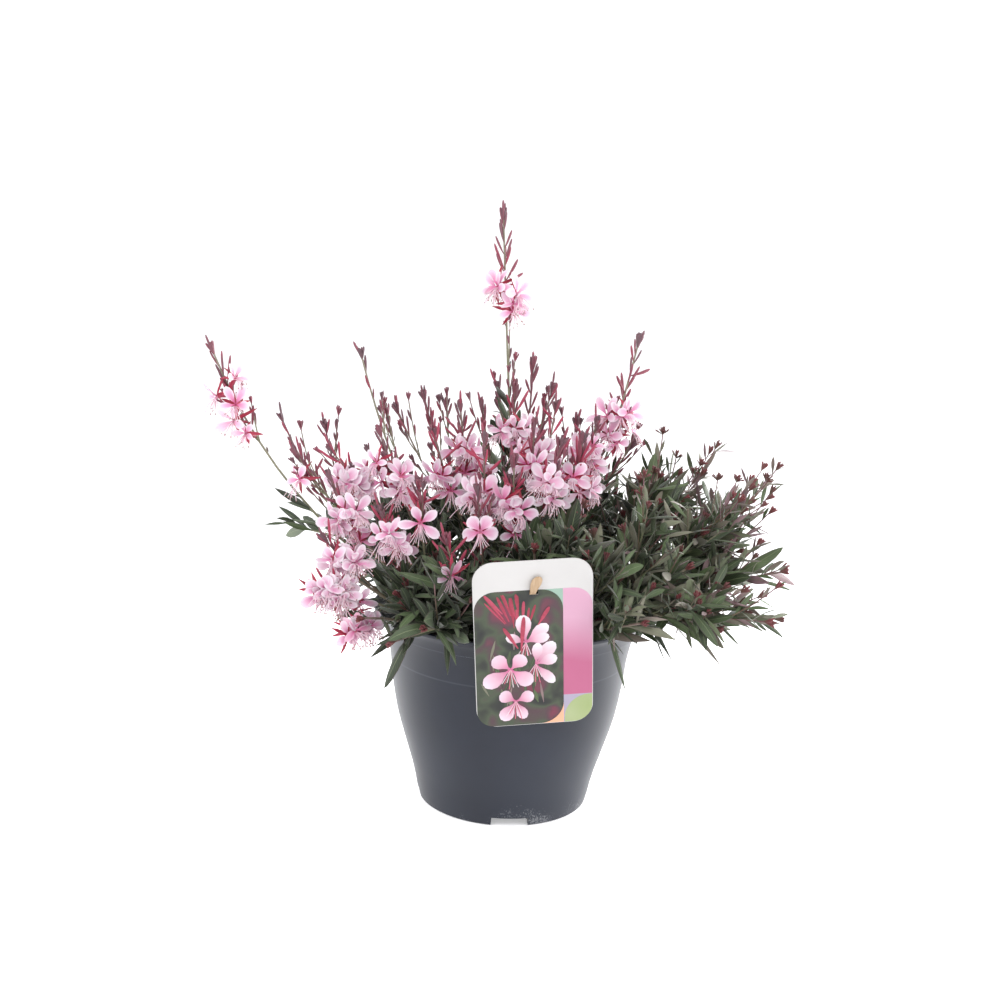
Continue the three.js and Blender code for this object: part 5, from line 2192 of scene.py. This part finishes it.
@dataclass
class PlantLabel:
    """The rounded label card that leans on the lip, its print, and the wooden pick that holds it."""

    width: float = 74.8
    height: float = 116.0
    corner: float = 13.0
    thick: float = 0.8
    # Thickness of a film of ink, and how far the next print of the motif stands above the one before it
    ink: float = 0.05
    step: float = 0.012
    # Middle, width and height of the pick's slot
    slot: tuple[float, float, float, float] = (0.4, 36.4, 5.6, 3.2)
    pick_half: float = 2.3
    pick_thick: float = 1.4

    # The card hangs along the pot's taper, follows the lip's curve and is a little crooked, in degrees
    LEAN = 11.0
    SWING = 7.0
    TURN = 5.0
    ORIGIN = (15.6, -95.6, 140.0)
    PICK_FOOT = (18.0, -60.0, 98.0)
    SEED = 12

    @classmethod
    def frame(cls) -> Matrix:
        """Returns the card's own frame in millimetres: x across, y up it, z out of its printed face."""
        swing = Matrix.Rotation(math.radians(cls.SWING), 4, "Z")
        lean = Matrix.Rotation(math.pi / 2 + math.radians(cls.LEAN), 4, "X")
        turn = Matrix.Rotation(math.radians(cls.TURN), 4, "Z")
        return Matrix.Translation(cls.ORIGIN) @ swing @ lean @ turn

    @classmethod
    def in_card(cls, points: np.ndarray) -> np.ndarray:
        """Returns points in the card's own frame."""
        back = np.array(cls.frame().inverted())
        return points @ back[:3, :3].T + back[:3, 3]

    def place(self, piece: bpy.types.Object) -> None:
        """Moves a piece from the card's own frame, in millimetres, to its place."""
        piece.data.transform(Matrix.Scale(MM, 4) @ self.frame())
        piece.data.update()

    def plate(
        self,
        box: tuple[float, float, float, float],
        radii: tuple[float, float, float, float],
        low: float,
        high: float,
    ) -> bpy.types.Object:
        """Cuts a flat plate with round corners.

        Args:
            box: left, bottom, right and top.
            radii: of the corners at bottom left, bottom right, top right and top left.
            low: height of its underside.
            high: height of its face.

        Returns:
            The plate, in the card's own frame and in millimetres.
        """
        left, bottom, right, top = box
        middle = ((left + right) / 2, (bottom + top) / 2)
        lay_down()
        bpy.ops.mesh.primitive_plane_add(size=1, location=(*middle, low))
        piece = bpy.context.object
        piece.scale = (right - left, top - bottom, 1)
        settle(piece)
        bpy.ops.object.mode_set(mode="EDIT")
        places = ((left, bottom), (right, bottom), (right, top), (left, top))
        for (x, y), radius in zip(places, radii):
            if radius:
                choose(piece, lambda co, x=x, y=y: abs(co.x - x) < 1e-3 and abs(co.y - y) < 1e-3)
                # A vertex bevel of a square corner sets its round back by the offset
                bpy.ops.mesh.bevel(offset=radius, segments=12, affect="VERTICES")
        bpy.ops.mesh.select_mode(type="FACE")
        bpy.ops.mesh.select_all(action="SELECT")
        bpy.ops.mesh.extrude_region_move(TRANSFORM_OT_translate={"value": (0, 0, high - low)})
        close_up()
        return piece

    def cut_slot(self, sheet: bpy.types.Object) -> None:
        """Cuts the pick's slot through the card or its print."""
        x, y, wide, high = self.slot
        lay_down()
        bpy.ops.mesh.primitive_cube_add(size=1, location=(x, y, 0))
        cutter = bpy.context.object
        cutter.scale = (wide, high, 6)
        settle(cutter)
        cut_away(sheet, cutter)

    def build(self) -> None:
        """Builds the card, its print and its pick."""
        self.build_card()
        self.build_print()
        self.build_motif()
        self.build_pick()

    def build_card(self) -> None:
        """Builds the white card with its slot."""
        w, h = self.width / 2, self.height / 2
        card = self.plate((-w, -h, w, h), (self.corner,) * 4, 0.0, self.thick)
        self.cut_slot(card)
        finish_off(card, "BEVEL", width=0.18, segments=2, limit_method="ANGLE", angle_limit=math.radians(50))
        self.place(card)
        hand_over(card, "label_board", BOARD, ["label_card"], smooth=40)

    def build_print(self) -> None:
        """Lays the fields of colour on the card, each a film of ink over the one before it."""
        # Foot of the print, edge between panel and band, the band's right edge, the print's head, and where
        # the pink ends
        low, split, side, head = -57.6, 18.6, 37.0, 38.0
        pink_foot, pink_fade, square = -37.6, (0.122, 0.176), (0, 0, 0, 0)
        fields = (
            ("print_mint", "#91AC9D", "#8BA597", (6.0, head - 18, split, head), square, 0, None),
            ("print_peach", "#E4A888", "#DEA283", (2.0, low, split, low + 16), square, 0, None),
            ("print_pink", "#C698AF", "#AF5C7E", (split, pink_foot, side, head), (0, 0, 12, 0), 0, pink_fade),
            ("print_lavender", "#A199AC", "#9B93A7", (split, low, side, pink_foot), (0, 12, 0, 0), 0, None),
            ("print_green", "#8D9D63", "#AAB28E", (split + 0.6, low, side, -38.0), (0, 12, 0, 16), 1, None),
        )
        for name, colour, shade, box, radii, film, fade in fields:
            base = self.thick + film * self.ink
            sheet = self.plate(box, radii, base - 0.01, base + self.ink)
            self.place(sheet)
            ink = CoatedBoard(name + "_ink", 0.42, colour=colour, shade=shade, fade=fade)
            hand_over(sheet, name, ink)
        base, box = self.thick, (-36.9, low, split, head + 0.1)
        panel = self.plate(box, (11, 15, 14, 13), base - 0.01, base + 2 * self.ink)
        self.cut_slot(panel)
        self.place(panel)
        hand_over(panel, "print_panel", PrintedFoliage("printed_foliage", 0.4))

    def press(
        self,
        growth: Growth,
        form: Template,
        seat: tuple[float, float],
        tip: tuple[float, float],
        half: float,
        layer: int,
        look: tuple[Skin, float],
    ) -> None:
        """Prints one petal, bud or stamen flat on the dark panel.

        Args:
            growth: the printed motif.
            form: the template that gives its outline.
            seat: where it starts on the card.
            tip: where it ends.
            half: its half width.
            layer: how many prints lie under it.
            look: its finish and tint.
        """
        base = self.thick + 2 * self.ink + self.step * (layer + 1)
        start, end = np.array([*seat, base]), np.array([*tip, base])
        axis = 2 if form.points[:, 1].min() < -0.3 else 1
        s = form.points[:, axis : axis + 1]
        run = unit(end - start)
        across = np.array([-run[1], run[0], 0.0])
        points = start + (end - start) * s + across * form.points[:, 0:1] * half
        if axis == 2:
            points[:, 2] += form.points[:, 1] * 0.01
        else:
            edge = np.abs(form.points[:, 0:1])
            points[:, 2:3] += 0.004 * np.sign(form.points[:, 2:3] - PETAL_FORM.fold * edge**1.6)
        growth.put(form, points, *look)

    def build_motif(self) -> None:
        """Prints a plain motif on the panel: crimson buds over white-pink four-petalled flowers."""
        growth, dice = Growth(), random.Random(self.SEED)
        for i in range(20):
            x, y = dice.uniform(-30, 12), dice.uniform(14, 34)
            if x > 6 and y > 26:
                continue
            lean = dice.uniform(-3, 4) + 0.12 * x
            seat, tip = (x * 0.55 - 4, y * 0.7), (x + lean, min(y + dice.uniform(7, 12), 36))
            look = (Skin.SEPAL, dice.uniform(0.0, 1.0))
            self.press(growth, BUD_FORM.template, seat, tip, dice.uniform(0.7, 1.2), i % 6, look)
        for i in range(30):
            x, y = dice.uniform(-30, 10), dice.uniform(-50, -2)
            tip = (x + dice.uniform(-5, 5), y + dice.uniform(8, 16))
            half, look = dice.uniform(0.6, 1.4), (Skin.LEAF, dice.random())
            self.press(growth, LEAF_FORM.template, (x, y), tip, half, i % 6, look)
        blooms = (
            ((-5, 2), ((40, 18, 4.2), (96, 19, 5.0), (14, 15, 3.6), (160, 13, 3.4))),
            ((1, -14), ((52, 19, 4.6), (18, 14, 4.0), (-50, 18, 3.4), (84, 15, 3.4))),
            ((-15, -17), ((140, 14, 5.2), (46, 13, 5.0), (212, 20, 5.6), (-38, 17, 5.4))),
            ((-12, -40), ((150, 11.5, 4.6), (22, 12, 4.4), (236, 16, 4.8), (-66, 14, 3.6))),
        )
        for number, ((x, y), petals) in enumerate(blooms):
            for k, (angle, length, half) in enumerate(petals):
                tip = np.array((x, y)) + compass(angle)[:2] * length
                look = (Skin.PRINT, 0.0 if number < 2 else 0.8)
                self.press(growth, PETAL_FORM.template, (x, y), tip, half, 6 + 5 * number + k, look)
            for k in range(7):
                out = compass(238 + 9 * k + dice.uniform(-3, 3))[:2] * dice.uniform(9, 14)
                tip, look = np.array((x, y)) + out, (Skin.TUBE if k % 2 else Skin.FILAMENT, 1.0)
                self.press(growth, FILAMENT_FORM.template, (x, y), tip, 0.25, 10 + 5 * number, look)
        for x, y, dx, dy, half in ((-10, -2, -9, 15, 1.5), (-8, -4, 2, 24, 1.7), (3, 14, 7, 12, 1.5)):
            self.press(growth, BUD_FORM.template, (x, y), (x + dx, y + dy), half, 27, (Skin.SEPAL, 0.5))
        piece = growth.make("print_motif", "label_card")
        piece.data.transform(Matrix.Scale(1 / MM, 4))
        self.place(piece)

    def build_pick(self) -> None:
        """Builds the pick: a splint out of the soil, through the slot and up in front of the card."""
        foot = self.frame().inverted() @ Vector(self.PICK_FOOT)
        x, y = self.slot[0] - 0.6, self.slot[1]
        back, front = -self.pick_thick - 1.0, self.thick + 0.45
        path = (
            (foot.x, foot.y, foot.z, 0.35),
            (*foot.lerp(Vector((x, y - 3.0, back)), 0.12), 1.0),
            (x, y - 3.0, back, 0.9),
            (x + 0.1, y + 0.4, front, 0.85),
            (x + 0.5, y + 2.4, front + 0.5, 1.0),
            (x + 1.8, y + 6.4, front + 1.0, 1.45),
            (x + 2.7, y + 9.3, front + 1.2, 1.4),
            (x + 3.2, y + 10.8, front + 1.3, 0.95),
            (x + 3.4, y + 11.5, front + 1.3, 0.35),
        )
        (x, y, z, wide), *others = path
        lay_down()
        bpy.ops.mesh.primitive_plane_add(size=1, location=(x, y, z + self.pick_thick / 2))
        pick = bpy.context.object
        pick.rotation_euler = (math.pi / 2, 0, 0)
        pick.scale = (2 * self.pick_half * wide, self.pick_thick, 1)
        settle(pick)
        bpy.ops.object.mode_set(mode="EDIT")
        bpy.ops.mesh.select_mode(type="FACE")
        bpy.ops.mesh.select_all(action="SELECT")
        for right, up, out, broad in others:
            bpy.ops.mesh.extrude_region_move(
                TRANSFORM_OT_translate={"value": (right - x, up - y, out - z), "orient_type": "GLOBAL"}
            )
            middle = (right, up, out + self.pick_thick / 2)
            bpy.ops.transform.resize(value=(broad / wide, 1, 1), center_override=middle)
            x, y, z, wide = right, up, out, broad
        close_up()
        finish_off(pick, "BEVEL", width=0.25, segments=2, limit_method="ANGLE", angle_limit=math.radians(35))
        self.place(pick)
        hand_over(pick, "pick_splint", BIRCH, ["label_pick"], smooth=40)


# Studio


@dataclass
class Studio:
    """White seamless sweep, soft lights and the photograph's camera."""

    # The camera's place in metres, its turns in radians, and its focal length and image width in pixels
    camera_at: tuple[float, float, float] = (0.0, -0.9, 0.3901)
    pitch: float = 0.1956
    yaw: float = -0.01183
    roll: float = 0.04477
    focal_pixels: float = 1337.2
    image: float = 1000.0
    world_strength: float = 0.95
    # Half the sheet's width, nearly, how high its back edge is pulled up, and the curve's radius
    edge: float = 3.9
    rise: float = 4.0
    curve: float = 2.0

    def build(self) -> None:
        """Sets up the sweep, the light and the camera."""
        self.build_sweep()
        self.build_lights()
        self.build_camera()

    def build_sweep(self) -> None:
        """Pulls the back edge of a sheet up in a wide curve."""
        lay_down()
        bpy.ops.mesh.primitive_plane_add(size=8, location=(0, 0, -0.0002))
        sweep = bpy.context.object
        settle(sweep)
        bpy.ops.object.mode_set(mode="EDIT")
        choose(sweep, lambda co: co.y > self.edge, "EDGE")
        bpy.ops.mesh.extrude_edges_move(TRANSFORM_OT_translate={"value": (0, 0, self.rise)})
        choose(sweep, lambda co: co.y > self.edge and abs(co.z) < 0.01, "EDGE")
        bpy.ops.mesh.bevel(offset=self.curve, segments=16)
        bpy.ops.object.mode_set(mode="OBJECT")
        sweep.name = "studio_sweep"
        sweep.data.materials.append(SWEEP.material())
        take_up(sweep)
        bpy.ops.object.shade_smooth()

    def build_lights(self) -> None:
        """Hangs two soft boxes in front and two behind, in an even white surround."""
        world = bpy.data.worlds.new("studio_white")
        bpy.context.scene.world = world
        world.use_nodes = True
        surround = world.node_tree.nodes["Background"].inputs
        surround["Color"].default_value = linear("#FFFFFF")
        surround["Strength"].default_value = self.world_strength
        middle = Vector((0, 0, 0.2))
        for name, place, size, power in (
            ("key_box", (-0.9, -1.2, 1.5), 1.2, 16.0),
            ("fill_box", (1.3, -0.8, 1.1), 1.2, 12.0),
            ("rim_box", (1.5, 1.1, 0.7), 1.2, 34.0),
            ("left_rim_box", (-1.6, 1.0, 0.5), 1.0, 4.0),
        ):
            light = bpy.data.lights.new(name, "AREA")
            light.size, light.energy = size, power
            lamp = bpy.data.objects.new(name, light)
            bpy.context.scene.collection.objects.link(lamp)
            lamp.location = place
            lamp.rotation_euler = (middle - lamp.location).to_track_quat("-Z", "Y").to_euler()
        bpy.context.scene.view_settings.view_transform = "Standard"

    def build_camera(self) -> None:
        """Sets the camera where the photograph was taken from."""
        level = math.cos(self.pitch)
        forward = Vector((math.sin(self.yaw) * level, math.cos(self.yaw) * level, -math.sin(self.pitch)))
        right = Vector((math.cos(self.yaw), -math.sin(self.yaw), 0.0))
        turn = Matrix.Rotation(-self.roll, 3, forward)
        right = turn @ right
        back = -forward
        axes = Matrix((right, back.cross(right), back)).transposed()
        lens = bpy.data.cameras.new("photo_camera")
        lens.sensor_width = 36.0
        lens.lens = self.focal_pixels / self.image * lens.sensor_width
        camera = bpy.data.objects.new("photo_camera", lens)
        bpy.context.scene.collection.objects.link(camera)
        camera.matrix_world = Matrix.Translation(self.camera_at) @ axes.to_4x4()
        bpy.context.scene.camera = camera


# Clusters whose flowers are all of one age
AGES = {9: Age.FLAT} | dict.fromkeys((1, 2, 3, 19), Age.OPENING) | dict.fromkeys((12, 18, 22), Age.SPENT)
# Flowers that a cluster has beyond the part's, where they aren't the usual number
USUAL_EXTRA = 3
EXTRA_FLOWERS = {1: 2, 2: 2, 3: 2, 9: 0, 12: 1, 14: 5, 15: 5, 16: 5, 17: 0, 19: 0, 20: 4, 21: 5, 22: 0}
# Where the side sprays end, and how the wands end that stand out singly
SPRAYS = {20: (-104.0, -92.0, 142.0), 21: (-124.0, -80.0, 166.0)}
CROWNS = {0: Crown.LADDER, 1: Crown.LADDER, 2: Crown.LADDER, 15: Crown.BRUSH, 16: Crown.BRUSH}


def main() -> None:
    """Builds the pot, the label and the plant, and sets the studio around them."""
    logging.basicConfig(level=logging.INFO, format="%(name)s %(message)s")
    Studio().build()
    NurseryPot().build()
    PottingSoil().build()
    PlantLabel().build()
    clusters = 0
    for index, plan in enumerate(WANDS):
        plant = FlowerWand(index, plan, CROWNS.get(index))
        plant.build()
        for spike, stem in enumerate(plan.stems(plant.thick, plant.thin)):
            if stem.spike.flowers:
                clusters += 1
                extra, spray = EXTRA_FLOWERS.get(clusters, USUAL_EXTRA), SPRAYS.get(clusters)
                FlowerCluster(clusters, index, spike, stem, AGES.get(clusters), extra, spray).build()
    for index, plan in enumerate(LEAFY_STEMS):
        LeafyPlant(index, plan).build()
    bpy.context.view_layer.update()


if __name__ == "__main__":
    main()
